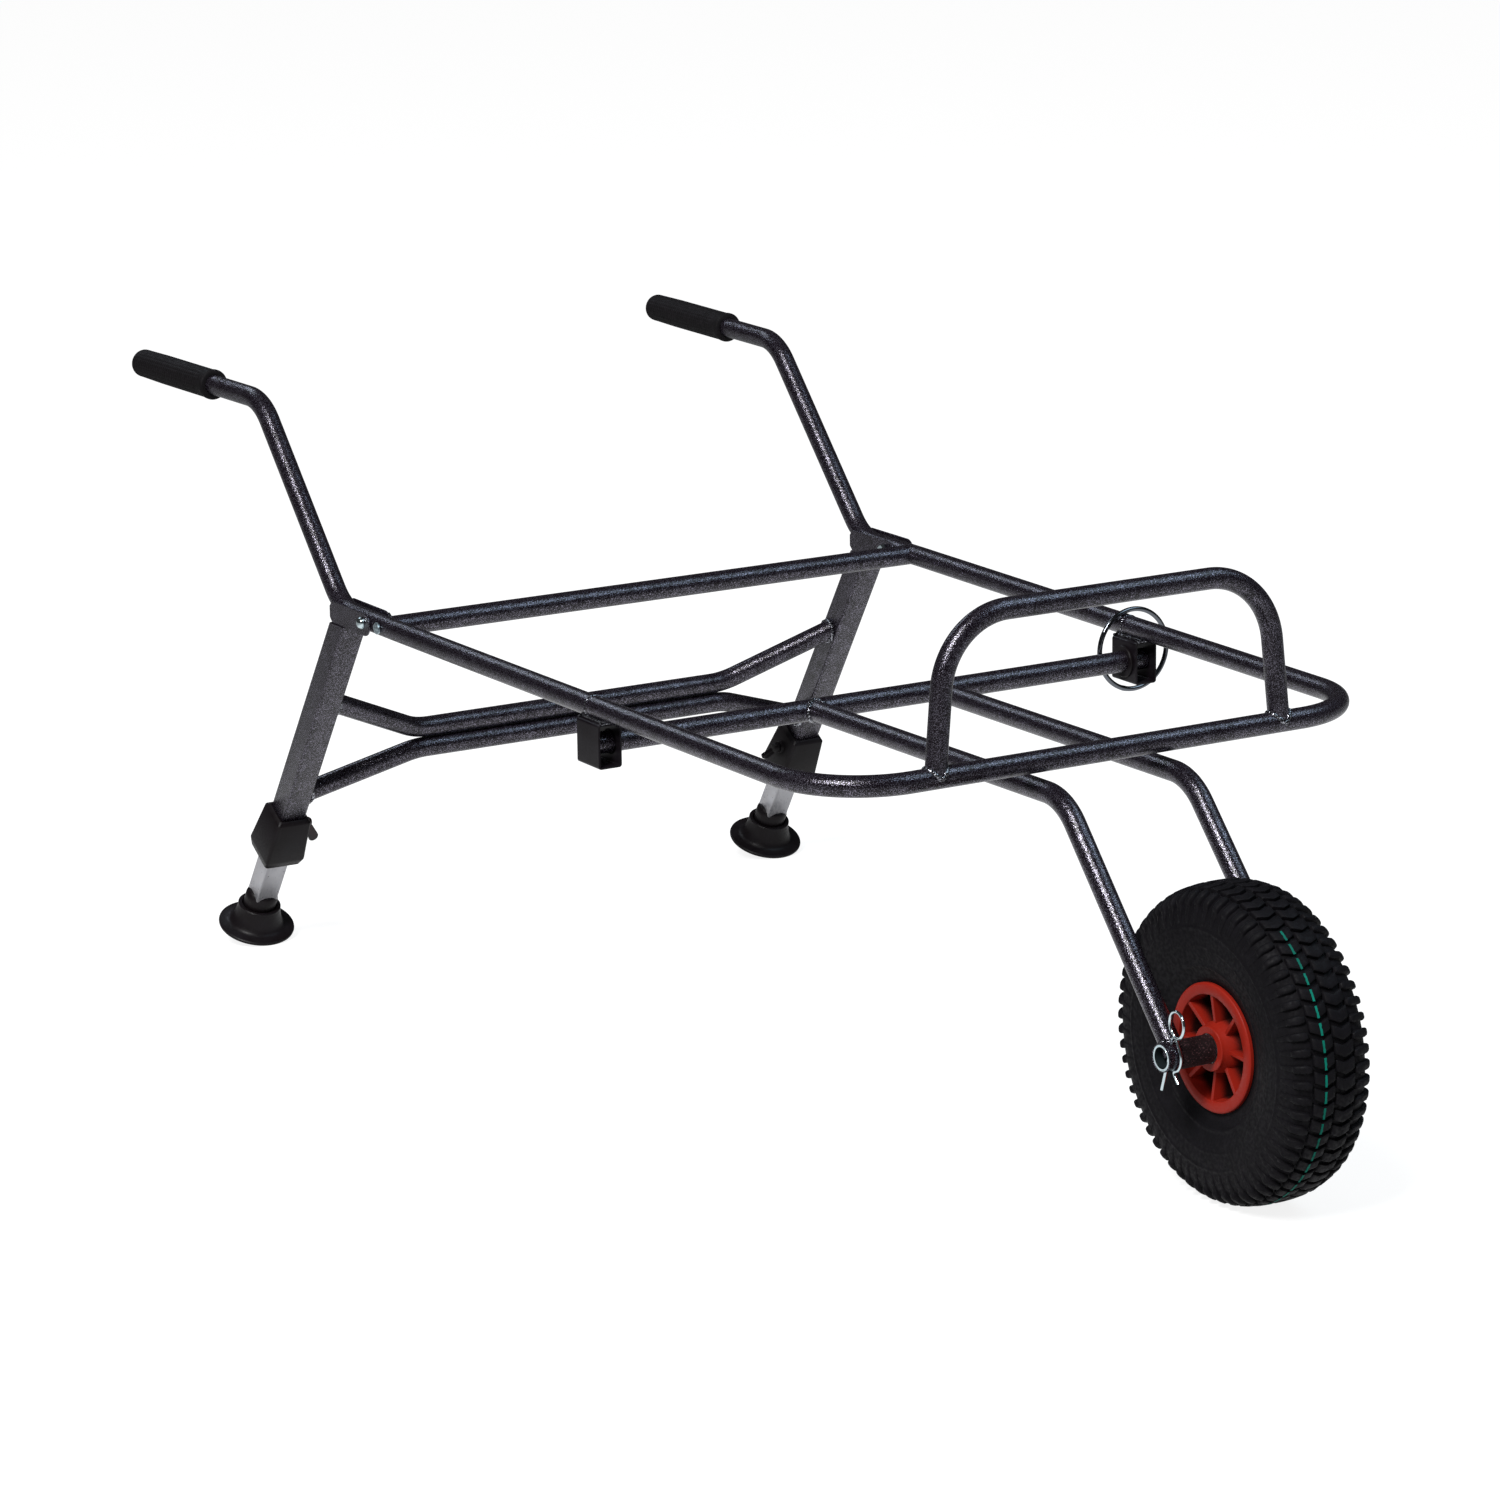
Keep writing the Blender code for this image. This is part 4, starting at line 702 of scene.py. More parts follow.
def make_crossbar():
    """Cross tube behind the pivots and the heads of its screws."""
    middle = at(0.0, CROSSBAR_Y, rail_height(CROSSBAR_Y))
    bar = cross_bar(middle, RAIL_HALF_WIDTH - 0.004, TUBE, TUBE_WALL)
    piece("crossbar_tube", bar, PAINT, "frame", "rear_crossbar")
    profile = [(0.0030, -0.030), (0.0030, 0.0), (0.0058, 0.0), (0.0062, 0.0004)]
    profile += [(0.0062, 0.0018), (0.0056, 0.0025), (0.0030, 0.0030), (0.0002, 0.0031)]
    for side, sign in SIDES:
        head = turned(x_frame(middle, sign, RAIL_HALF_WIDTH + TUBE / 2.0 + 0.0002), profile, 48)
        piece("crossbar_screw_head_" + side, head, DULL_ZINC, "frame", "crossbar_screw_" + side)


BOLT_FLANGE_RADIUS = 0.0066
BOLT_FLANGE = 0.0006
BOLT_DOME = (0.0062, 0.0048)
NUT_RADIUS = 0.0072
NUT_HEIGHT = 0.0065


def make_pivot_bolt(side, sign):
    """Domed bolt through the rail, with a hexagon nut."""
    cheek = TUBE / 2.0 + 0.0026
    inner = -2.0 * cheek
    profile = [(0.0040, inner - 0.0060), (0.0040, 0.0)]
    profile += [(BOLT_FLANGE_RADIUS, 0.0), (BOLT_FLANGE_RADIUS, BOLT_FLANGE)]
    profile += arc((0.0, BOLT_FLANGE), BOLT_DOME, 0.0, 87.0, 12)
    hexagon = [circle(NUT_RADIUS, height, 6) for height in (inner - NUT_HEIGHT, inner)]
    place = x_frame(PIVOT, sign, RAIL_HALF_WIDTH + cheek)
    piece("pivot_bolt_" + side, turned(place, profile, 48), ZINC, "frame", "leg_pivot_bolt_" + side)
    nut = skin(placed(place, hexagon))
    piece("pivot_nut_" + side, nut, ZINC, "frame", "leg_pivot_nut_" + side, bevel=0.0006)


RING_RADIUS = 0.0420
RING_WIRE = 0.00524
RING_STATIONS = 128
RING_JOINT = 90


def make_strap_ring():
    """Steel ring, slightly thicker where its wire is joined."""
    low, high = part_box("strap_ring")
    middle = (low + high) / 2.0
    rings = []
    for index, angle in enumerate(full_turn(RING_STATIONS)):
        out = Vector((math.cos(angle), 0.0, math.sin(angle)))
        place = frame_along(middle + out * RING_RADIUS, Vector((-out.z, 0.0, out.x)), Y_AXIS)
        swell = 1.0 + 0.10 * math.exp(-((index - RING_JOINT) / 1.6) ** 2)
        rings += placed(place, [circle(RING_WIRE / 2.0 * swell, 0.0, 24)])
    wire = skin(rings, closed=True)
    piece("strap_ring_wire", wire, RING_STEEL, "strap_ring", "strap_ring", sharp=60.0)


# Fork, axle and clips
SLEEVE_RADIUS = 0.0135
SLEEVE_BORE = 0.0118
SLEEVE_OUTER = 0.0905
SLEEVE_LENGTH = 0.0165
SLEEVE_EDGE = 0.0012
AXLE_RADIUS = 0.0115
AXLE_WALL = 0.0012
AXLE_LIP = 0.0014
BORE_SHADE_WALL = 0.0006
HUB_HALF = 0.0375
CLIP_WIRE = 0.0030
CLIP_LEAN = math.radians(18.8)
CLIP_LOOP_RADIUS = 0.0123
CLIP_LOOP_HEIGHT = 0.0335
CLIP_INSET = 0.0095
CLIP_SIDESTEP = 0.0022


def clip_points(sign):
    """Pin, round eye and wavy arm of a spring clip."""
    up = Vector((0.0, -math.sin(CLIP_LEAN), math.cos(CLIP_LEAN)))
    forward = Vector((0.0, -math.cos(CLIP_LEAN), -math.sin(CLIP_LEAN)))
    hug = SLEEVE_RADIUS + CLIP_WIRE / 2.0 + 0.0004
    eye = CLIP_LOOP_HEIGHT - CLIP_LOOP_RADIUS
    flat = [(-0.036, 0.0), (-0.018, 0.0), (0.0, 0.0), (eye - 0.002, 0.0)]
    flat += arc((CLIP_LOOP_HEIGHT, 0.0), (CLIP_LOOP_RADIUS, CLIP_LOOP_RADIUS), 145.0, -145.0, 10)
    flat.append((eye - 0.001, 0.0))
    flat += arc((0.0, 0.0), (hug, hug), 38.0, 143.0, 4)
    flat.append((-0.0190, 0.0185))
    points = []
    for index, (along, out) in enumerate(flat):
        inset = CLIP_INSET + CLIP_SIDESTEP * zero_to_one((index - 6) / 6.0)
        points.append(AXLE + up * along + forward * out + X_AXIS * sign * (SLEEVE_OUTER - inset))
    return points


def make_sleeve(side, sign):
    """Painted sleeve at the fork's end, the rough spacer inside it and the spring clip."""
    inner = -SLEEVE_LENGTH
    outer = -SLEEVE_EDGE
    hub = HUB_HALF - SLEEVE_OUTER + GAP
    sleeve = [(SLEEVE_BORE, inner), (SLEEVE_RADIUS - 0.0003, inner), (SLEEVE_RADIUS, inner + 0.0004)]
    sleeve += [(SLEEVE_RADIUS, outer), (SLEEVE_BORE, outer)]
    edge = [(0.0127, outer), (SLEEVE_RADIUS - 0.0001, outer), (SLEEVE_RADIUS - 0.0002, outer + 0.0002)]
    edge += [(0.0131, -0.0001), (0.0129, 0.0), (0.0127, -0.0002)]
    spacer = [(SLEEVE_BORE, hub), (SLEEVE_RADIUS, hub)]
    spacer += [(SLEEVE_RADIUS, inner - GAP), (SLEEVE_BORE, inner - GAP)]
    place = x_frame(AXLE, sign, SLEEVE_OUTER)
    piece("sleeve_" + side, turned(place, sleeve, closed=True), PAINT, "fork", "axle_sleeve_" + side)
    piece("sleeve_edge_" + side, turned(place, edge, closed=True), PAINT, "fork")
    piece("spacer_" + side, turned(place, spacer, closed=True), SPACER, "fork", "axle_spacer_" + side)
    wire = skin(path_rings(smooth_path(clip_points(sign)), CLIP_WIRE / 2.0, X_AXIS, 16))
    piece("clip_wire_" + side, wire, ZINC, "fork", "axle_clip_" + side, sharp=60.0)


def make_fork():
    """Cross tube in the sockets, and the two bent tubes with their welds and sleeves."""
    bar = cross_bar(FOLD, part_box("fork_cross_tube")[1].x, TUBE, TUBE_WALL)
    piece("cross_tube", bar, PAINT, "fork", "fork_cross_tube")
    for side, sign in SIDES:
        top = Vector((sign * FORK_HALF, FOLD.y, FOLD.z))
        bend = at(sign * FORK_BEND_HALF, FORK_BEND_Y, FORK_BEND_Z)
        foot = Vector((sign * FORK_HALF, AXLE.y, AXLE.z))
        leg = tube(rounded_path([top, bend, foot], FORK_BEND_RADIUS, 32), THIN_TUBE, TUBE_WALL, X_AXIS)
        piece("fork_tube_" + side, leg, PAINT, "fork", "fork_leg_" + side)
        welds = bmesh.new()
        weld_on_tube(welds, top, bend, TUBE / 2.0)
        weld_on_tube(welds, foot, bend, SLEEVE_RADIUS, 3.0)
        piece("fork_welds_" + side, welds, WELD, "fork", sharp=60.0)
        make_sleeve(side, sign)


def make_axle():
    """Hollow axle with a bright lip at each end, and a dark sheet in its bore as painted shade."""
    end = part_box("axle_tube")[1].x
    pipe = cross_bar(AXLE, end, 2.0 * AXLE_RADIUS, AXLE_WALL, 64)
    root = AXLE_RADIUS - 0.0001
    lip = [(root, -AXLE_LIP), (0.0124, -AXLE_LIP), (0.0126, -0.0004)]
    lip += [(0.0122, 0.0), (0.0116, 0.0), (root, -0.0004)]
    for _, sign in SIDES:
        turned(x_frame(AXLE, sign, end), lip, closed=True, bm=pipe)
    piece("axle_pipe", pipe, ZINC, "fork", "axle_tube")
    # Thin dark tube inside the bore: painted shade.
    shade_sheet = cross_bar(AXLE, end - 0.0004, 2.0 * (AXLE_RADIUS - AXLE_WALL + 0.0001), BORE_SHADE_WALL, 64)
    piece("axle_bore_shade", shade_sheet, SHADED_BORE, "fork")


# Wheel
TREAD_DEPTH = 0.0045
LUG_COUNT = 60
LUG_PITCH = math.tau / LUG_COUNT
LUG_ROOT = -0.0008
LUG_COLUMNS = 8
TREAD_SHIFT = -0.0050
ROW_PITCH = 0.0218
GROOVE = 0.0018
CHEVRON_POINT = 0.26
CHEVRON_LENGTH = 0.72
FIN_END = 0.0600
STUB_ARCS = (0.0340, 0.0380, 0.0405, 0.0422, 0.0434, 0.0446, 0.0470, 0.0520, FIN_END)
STUB_HEIGHTS = (0.97, 0.97, 0.95, 0.86, 0.64, 0.34, 0.24, 0.20, 0.10)
LUG_BEVEL = 0.0009
STRIPE_HALF = 0.0011
WORN_FROM = 10
WORN_UNTIL = 22
RIM_HALF = 0.035
RIM_FLANGE_RADIUS = 0.0607
RIM_LIP_RADIUS = 0.0497
RIM_BARREL_RADIUS = 0.0478
RIM_WEB_HALF = 0.0020
RIM_STATIONS = 160
HUB_RADIUS = 0.0212
RIB_COUNT = 8
RIB_WIDTH = 0.0042
TYRE_STATIONS = 240
TYRE_ROWS = 110
SIDEWALL = (
    (0.0, 0.1455), (0.0150, 0.1449), (0.0280, 0.1422), (0.0370, 0.1358), (0.0415, 0.1265),
    (0.0430, 0.1160), (0.0432, 0.1040), (0.0408, 0.0900), (0.0368, 0.0775), (0.0330, 0.0690),
    (0.0312, 0.0640), (0.0302, 0.0619),
)
CAVITY = ((0.029, 0.0511), (0.020, 0.0511), (0.022, 0.070), (0.034, 0.105), (0.025, 0.136))
SIDEWALL_RINGS = ((0.0640, 0.0012, 0.0009), (0.0800, 0.0008, 0.0005), (0.1010, 0.0016, 0.0010))


def tyre_curve():
    """Smooth half section of the carcass as (arc length, x, radius, normal x, normal radius)."""
    mirrored = (-SIDEWALL[1][0], SIDEWALL[1][1])
    points = smooth_path([Vector((x, r, 0.0)) for x, r in (mirrored, *SIDEWALL)], 10)[10:]
    rows = []
    length = 0.0
    for before, point, after in neighbours(points):
        length += (point - before).length
        tangent = (after - before).normalized() if rows else X_AXIS
        rows.append((length, point.x, point.y, -tangent.y, tangent.x))
    return rows


CURVE = tyre_curve()


def tyre_point(arc_length, height, angle):
    """Place on the tyre: arc length from the crown, height above the carcass, angle about the axle."""
    side = -1.0 if arc_length < 0.0 else 1.0
    along = min(abs(arc_length), CURVE[-1][0])
    for first, second in zip(CURVE, CURVE[1:]):
        if along <= second[0]:
            break
    share = (along - first[0]) / (second[0] - first[0])
    _, x, radius, across, out = (a + (b - a) * share for a, b in zip(first, second))
    x = side * (x + across * height)
    radius = radius + out * height
    return Vector((x, AXLE.y - radius * math.cos(angle), AXLE.z + radius * math.sin(angle)))


def lug(bm, index, arcs, starts, ends, heights, power):
    """One tread block with edges from starts to ends, in shares of the pitch, squarer with a high power."""
    step = math.copysign(LUG_BEVEL, arcs[-1] - arcs[0])
    last = len(arcs) - 1
    rows = [(arcs[0] - step * 0.5, 0, 0.0), (arcs[0], 0, 0.8), (arcs[0] + step, 0, 1.0)]
    rows += [(arcs[number], number, 1.0) for number in range(1, last)]
    rows += [(arcs[-1] - step, last, 1.0), (arcs[-1], last, 0.8), (arcs[-1] + step * 0.5, last, 0.0)]
    grid = []
    for along, number, rise in rows:
        line = []
        for column in range(LUG_COLUMNS + 1):
            across = -math.cos(math.pi * column / LUG_COLUMNS)
            bulge = (1.0 - abs(across) ** power) ** (1.0 / power)
            height = LUG_ROOT + (heights[number] - LUG_ROOT) * rise * bulge
            share = (starts[number] + ends[number] + (ends[number] - starts[number]) * across) / 2.0
            line.append(bm.verts.new(tyre_point(along, height, (index + share) * LUG_PITCH)))
        grid.append(line)
    for first, second in zip(grid, grid[1:]):
        for column in range(LUG_COLUMNS):
            bm.faces.new((first[column], first[column + 1], second[column + 1], second[column]))
    border = grid[0] + [line[-1] for line in grid[1:]]
    border += grid[-1][-2::-1] + [line[0] for line in grid[-2:0:-1]]
    bm.faces.new(border)


def make_tread(bm):
    """Two rows of chevron blocks between shoulder lugs that run down the sidewalls."""
    top = TREAD_DEPTH - 0.0002
    for row, side in enumerate((-1.0, 1.0)):
        inner = TREAD_SHIFT + side * GROOVE / 2.0
        outer = TREAD_SHIFT + side * (ROW_PITCH - GROOVE / 2.0)
        arcs = spread(inner, outer, 5)
        middle = (inner + outer) / 2.0
        point = [CHEVRON_POINT * (1.0 - abs(along - middle) / abs(outer - middle)) for along in arcs]
        starts = [0.5 * row - p for p in point]
        ends = [start + CHEVRON_LENGTH for start in starts]
        for index in range(LUG_COUNT):
            lug(bm, index, arcs, starts, ends, [top] * 5, 7.0)
        start = TREAD_SHIFT + side * (ROW_PITCH + GROOVE / 2.0)
        arcs = [start, start + side * 0.004] + [side * along for along in STUB_ARCS]
        heights = [top, top] + [TREAD_DEPTH * rise for rise in STUB_HEIGHTS]
        centre = [0.86 + 0.5 * row + 0.10 * abs(along - start) / 0.04 for along in arcs]
        half = [0.20, 0.29]
        half += [0.29 - 0.11 * (along - STUB_ARCS[0]) / (FIN_END - STUB_ARCS[0]) for along in STUB_ARCS]
        starts = [c - h for c, h in zip(centre, half)]
        ends = [c + h for c, h in zip(centre, half)]
        for index in range(LUG_COUNT):
            lug(bm, index, arcs, starts, ends, heights, 4.0)


def sidewall_rise(along):
    """Faint raised rings on the sidewall."""
    return sum(height * math.exp(-((along - place) / width) ** 2) for place, width, height in SIDEWALL_RINGS)


def make_tyre():
    """Hollow carcass with its tread."""
    half = [(along, sidewall_rise(along)) for along in spread(0.0, CURVE[-1][0], TYRE_ROWS)]
    section = [(-along, rise) for along, rise in half[::-1]] + half[1:]
    rings = []
    for angle in full_turn(TYRE_STATIONS):
        out = Vector((0.0, -math.cos(angle), math.sin(angle)))
        ring = [tyre_point(along, rise, angle) for along, rise in section]
        ring += [AXLE + X_AXIS * x + out * radius for x, radius in CAVITY]
        ring += [AXLE - X_AXIS * x + out * radius for x, radius in CAVITY[::-1]]
        rings.append(ring)
    bm = skin(rings, closed=True)
    make_tread(bm)
    piece("tyre_cover", bm, TYRE, "wheel", "tyre", sharp=50.0)


def make_stripe():
    """Paint line on one row of blocks, worn off along a stretch."""
    bm = bmesh.new()
    middle = TREAD_SHIFT - ROW_PITCH / 2.0
    for index in range(WORN_UNTIL, WORN_FROM + LUG_COUNT):
        edges = []
        for share in spread(-CHEVRON_POINT, CHEVRON_LENGTH - CHEVRON_POINT, 13):
            edge = []
            for side in (-1.0, 1.0):
                wear = noise.noise(Vector((index * 3.1 + share * 6.0, side * 5.0, 0.0)))
                across = middle + side * STRIPE_HALF * (1.0 + 0.5 * wear)
                point = tyre_point(across, TREAD_DEPTH + 0.0001, (index + share) * LUG_PITCH)
                edge.append(bm.verts.new(point))
            edges.append(edge)
        for first, second in zip(edges, edges[1:]):
            bm.faces.new((first[0], first[1], second[1], second[0]))
    piece("tread_stripe", bm, STRIPE, "wheel")


def make_rim():
    """Rim with its barrel, web and hub in one turned section, and eight ribs on each side."""
    edge = RIM_FLANGE_RADIUS - 0.0008
    flange = [(RIM_HALF - 0.0050, 0.0507), (RIM_HALF - 0.0052, edge), (RIM_HALF - 0.0044, RIM_FLANGE_RADIUS)]
    flange += [(RIM_HALF - 0.0012, RIM_FLANGE_RADIUS), (RIM_HALF - 0.0003, edge)]
    flange += [(RIM_HALF, RIM_FLANGE_RADIUS - 0.0022), (RIM_HALF, RIM_LIP_RADIUS + 0.0008)]
    flange.append((RIM_HALF - 0.0006, RIM_LIP_RADIUS))
    hollow = [(0.0055, RIM_BARREL_RADIUS), (RIM_WEB_HALF, RIM_BARREL_RADIUS - 0.003), (RIM_WEB_HALF, 0.0300)]
    hub = [(0.0060, 0.0262), (0.0290, 0.0238), (0.0330, 0.0215), (HUB_HALF - 0.0006, HUB_RADIUS)]
    hub += [(HUB_HALF, HUB_RADIUS - 0.0006), (HUB_HALF, 0.0141), (HUB_HALF - 0.0020, 0.0138)]
    hub.append((0.0200, 0.0138))
    half = flange + hollow + hub
    section = [Vector((x, 0.0, -r)) for x, r in half + [(-x, r) for x, r in half[::-1]]]
    rings = []
    for angle in full_turn(RIM_STATIONS):
        rings.append([AXLE + about_axle(angle) @ point for point in section])
    bm = skin(rings, closed=True)
    outline = [(0.0010, 0.0250), (0.0300, 0.0230)]
    outline += [(RIM_HALF - 0.0012, RIM_LIP_RADIUS + 0.0005), (0.0010, RIM_LIP_RADIUS)]
    for angle in full_turn(RIB_COUNT):
        for side in (-1.0, 1.0):
            faces = []
            for wide in (-0.5 * RIB_WIDTH, 0.5 * RIB_WIDTH):
                rib = [Vector((side * x, wide * (1.0 - 0.12 * x / RIM_HALF), -r)) for x, r in outline]
                faces.append([AXLE + about_axle(angle) @ point for point in rib])
            skin(faces, bm=bm)
    piece("rim_moulding", bm, RED, "wheel", "rim", bevel=0.0005)


def make_bearing(side, sign):
    profile = [(SLEEVE_BORE, -0.0120), (0.0136, -0.0120), (0.0136, -0.0010), (SLEEVE_BORE, -0.0010)]
    bearing = turned(x_frame(AXLE, sign, HUB_HALF), profile, closed=True)
    piece("bearing_" + side, bearing, STEEL, "wheel", "wheel_bearing_" + side)


# Folding legs
def leg_frame(sign):
    down = Vector((sign * LEG_SPLAY, math.sin(LEG_LEAN), -math.cos(LEG_LEAN)))
    start = PIVOT + ACROSS_LEG * LEG_AXIS_OFFSET + X_AXIS * sign * RAIL_HALF_WIDTH
    return frame_along(start, down, X_AXIS)


def make_braces():
    """Two bent tubes that cross between the legs and are welded to them."""
    right = leg_frame(-1.0)
    spacing = TUBE / 2.0 + 0.00015
    for name, end, rise in (("upper", BRACE_UPPER_END, spacing), ("lower", BRACE_LOWER_END, -spacing)):
        outer = right @ (Z_AXIS * end)
        far = Vector((-outer.x, outer.y, outer.z))
        inner = right @ (Z_AXIS * BRACE_MEETING) + Z_AXIS * rise
        bends = [Vector((sign * BRACE_BEND_HALF, inner.y, inner.z)) for _, sign in SIDES]
        brace = tube(rounded_path([outer, *bends, far], BRACE_BEND_RADIUS), TUBE, TUBE_WALL, ACROSS_LEG)
        welds = bmesh.new()
        for (_, sign), tip, bend in zip(SIDES, (outer, far), bends):
            leg = leg_frame(sign)
            normal = (leg.to_3x3() @ X_AXIS).normalized()
            seat = leg @ Vector((-sign * (LEG_TUBE / 2.0 - 0.0006), 0.0, end))
            trim(brace, tip, 0.014, (tip - bend).normalized(), seat, normal)
            face = leg @ Vector((-sign * (LEG_TUBE / 2.0 + 0.0017), 0.0, end))
            weld_on_face(welds, tip, bend, face, normal, end)
        piece("brace_tube_" + name, brace, PAINT, "legs", "leg_brace_" + name)
        piece("brace_welds_" + name, welds, WELD, "legs", sharp=60.0)


BRACKET_WALL = 0.0020
BRACKET_NOSE = -0.0045
BRACKET_LENGTH = 0.0747
BRACKET_CORNER = 0.006
BRACKET_WEB_START = 0.0240


def bracket_point(along, above):
    return PIVOT + ALONG_RAIL * along + ABOVE_RAIL * above


def plate(bm, outline, x_low, x_high):
    """Flat plate square to X with the given outline round the pivot."""
    skin([[bracket_point(u, v) + X_AXIS * x for u, v in outline] for x in (x_low, x_high)], bm=bm)


def make_bracket(side, sign):
    """Channel round the rail: two cheeks and the web that the leg is welded to."""
    top = TUBE / 2.0
    web_top = -(top + GAP)
    bottom = web_top - BRACKET_WALL
    inside = top + GAP
    end = BRACKET_LENGTH - BRACKET_CORNER
    nose = (top - bottom) / 2.0
    cheek = arc((BRACKET_NOSE, (top + bottom) / 2.0), (nose, nose), 90.0, 270.0, 32)
    cheek += [(end, bottom), (BRACKET_LENGTH, bottom + BRACKET_CORNER)]
    cheek += [(BRACKET_LENGTH, top - BRACKET_CORNER), (end, top)]
    web = [(BRACKET_WEB_START, bottom), (end, bottom), (end, web_top), (BRACKET_WEB_START, web_top)]
    x = sign * RAIL_HALF_WIDTH
    bm = bmesh.new()
    plate(bm, cheek, x - inside - BRACKET_WALL, x - inside)
    plate(bm, cheek, x + inside, x + inside + BRACKET_WALL)
    plate(bm, web, x - inside - 0.0005, x + inside + 0.0005)
    piece("bracket_" + side, bm, PAINT, "legs", "leg_bracket_" + side, bevel=0.0006)


LEG_START = 0.030
LEG_END = 0.3655
LEG_WALL = 0.0012
CLAMP_TOP = 0.3235
CLAMP_LENGTH = 0.0665
CLAMP_TOP_SIZE = 0.0400
CLAMP_END_SIZE = 0.0470
CLAMP_CHAMFER = 0.0040
CLAMP_CORNER = 0.0035
CLAMP_BORE_CORNER = 0.003
CLAMP_PLAY = 0.0006
INNER_LEG_TOP = 0.1700
INNER_LEG_WALL = 0.0015
INNER_LEG_CORNER = 0.0026
PLUG_HEIGHT = 0.0195
PLUG_SEAT = 0.0095
PLUG_RADIUS = 0.0180
FOOT_RADIUS = 0.0420
FOOT_TILT = math.radians(22.4)
FOOT_BALL_HEIGHT = 0.0300
FOOT_BOWL_PLAY = 0.0009


def square_tube(place, size, wall, corner, start, end):
    bore = size - 2.0 * wall
    rings = [square(size - LIP, corner, start), square(size, corner, start + LIP)]
    rings += [square(size, corner, end - LIP), square(size - LIP, corner, end)]
    rings += [square(bore, corner * 0.5, end), square(bore, corner * 0.5, start)]
    return skin(placed(place, rings), closed=True)


def make_outer_leg(side, place):
    """Square leg tube, cut off level with the bracket's lower edge."""
    leg = square_tube(place, LEG_TUBE, LEG_WALL, LEG_CORNER, LEG_START, LEG_END)
    seat = bracket_point(0.0, -(TUBE / 2.0 + BRACKET_WALL))
    trim(leg, place @ (Z_AXIS * LEG_START), 0.030, place.to_3x3() @ Z_AXIS, seat, ABOVE_RAIL)
    piece("leg_tube_" + side, leg, PAINT, "legs", "leg_outer_" + side)


def make_collar(side, place):
    """Black collar that is wider below, on the end of the outer leg and round the inner one."""
    end = CLAMP_TOP + CLAMP_LENGTH
    shoulder = CLAMP_TOP + CLAMP_CHAMFER
    outer = [(CLAMP_TOP_SIZE - 0.0080, CLAMP_TOP), (CLAMP_TOP_SIZE - 0.0070, CLAMP_TOP + 0.0003)]
    outer += [(CLAMP_TOP_SIZE - 0.0006, shoulder - 0.0006), (CLAMP_TOP_SIZE, shoulder)]
    outer += [(CLAMP_END_SIZE, end - 0.0110), (CLAMP_END_SIZE - 0.0004, end - 0.0095)]
    outer += [(CLAMP_END_SIZE - 0.0052, end - 0.0008), (CLAMP_END_SIZE - 0.0070, end)]
    bore = [(INNER_LEG, end), (INNER_LEG, LEG_END), (LEG_TUBE, LEG_END), (LEG_TUBE, CLAMP_TOP)]
    rings = [square(size, CLAMP_CORNER, height) for size, height in outer]
    rings += [square(size + CLAMP_PLAY, CLAMP_BORE_CORNER, height) for size, height in bore]
    collar = skin(placed(place, rings), closed=True)
    piece("clamp_collar_" + side, collar, PLASTIC, "legs", "leg_clamp_" + side)


def make_inner_leg(side, place, ball):
    """Bright sliding leg and the plug with a ball in its end."""
    along = (place.inverted() @ ball).z
    start = along - PLUG_HEIGHT
    body = "inner_leg_" + side
    leg = square_tube(place, INNER_LEG, INNER_LEG_WALL, INNER_LEG_CORNER, INNER_LEG_TOP, start + PLUG_SEAT)
    piece("inner_tube_" + side, leg, ALUMINIUM, body, "leg_inner_" + side)
    profile = [(0.0115, start), (0.0135, start + 0.0004), (0.0160, start + 0.0030), (0.0175, start + 0.0062)]
    profile += [(PLUG_RADIUS, start + 0.0090), (PLUG_RADIUS, along)]
    profile += arc((0.0, along), (PLUG_RADIUS, PLUG_RADIUS), 10.0, 80.0, 7)
    piece("plug_" + side, turned(place, profile, 72), PLASTIC, body, "foot_plug_" + side)


def make_foot(side, ball):
    """Round foot with a bowl for the ball, a collar and a thin edge."""
    normal = Vector((0.0, -math.sin(FOOT_TILT), math.cos(FOOT_TILT)))
    base = frame_along(ball - normal * FOOT_BALL_HEIGHT, normal, X_AXIS)
    bowl = PLUG_RADIUS + FOOT_BOWL_PLAY
    profile = [(0.0006, FOOT_BALL_HEIGHT - bowl)]
    profile += arc((0.0, FOOT_BALL_HEIGHT), (bowl, -bowl), 85.0, 10.625, 7)
    profile += [(bowl + 0.0001, 0.0282), (0.0196, 0.0290), (0.0227, 0.0290), (0.0235, 0.0282)]
    profile += [(0.0236, 0.0255), (0.0240, 0.0225), (0.0250, 0.0170), (0.0266, 0.0115), (0.0288, 0.0075)]
    profile += [(0.0306, 0.0056), (0.0330, 0.0046), (0.0390, 0.0038), (0.0408, 0.0035), (0.0417, 0.0027)]
    profile += [(FOOT_RADIUS, 0.0016), (0.0417, 0.0004), (0.0412, 0.0), (0.0006, 0.0)]
    piece("foot_pad_" + side, turned(base, profile, 96), PLASTIC, "foot_" + side, "foot_" + side, sharp=30.0)


def make_leg(side, sign):
    place = leg_frame(sign)
    ball = Vector(JOINTS["foot_tilt_" + side]["pos_m"])
    make_outer_leg(side, place)
    make_collar(side, place)
    make_inner_leg(side, place, ball)
    make_foot(side, ball)


WING_TURN = {"right": 0.0, "left": math.radians(-50.0)}
WING_HALF = 0.0022
WING_OUTLINE = (
    (-0.0050, 0.0130), (0.0030, 0.0135), (0.0040, 0.0165), (0.0015, 0.0182), (-0.0034, 0.0203),
    (-0.0130, 0.0260), (-0.0160, 0.0272), (-0.0186, 0.0262), (-0.0208, 0.0236), (-0.0216, 0.0205),
    (-0.0212, 0.0175), (-0.0140, 0.0146),
)


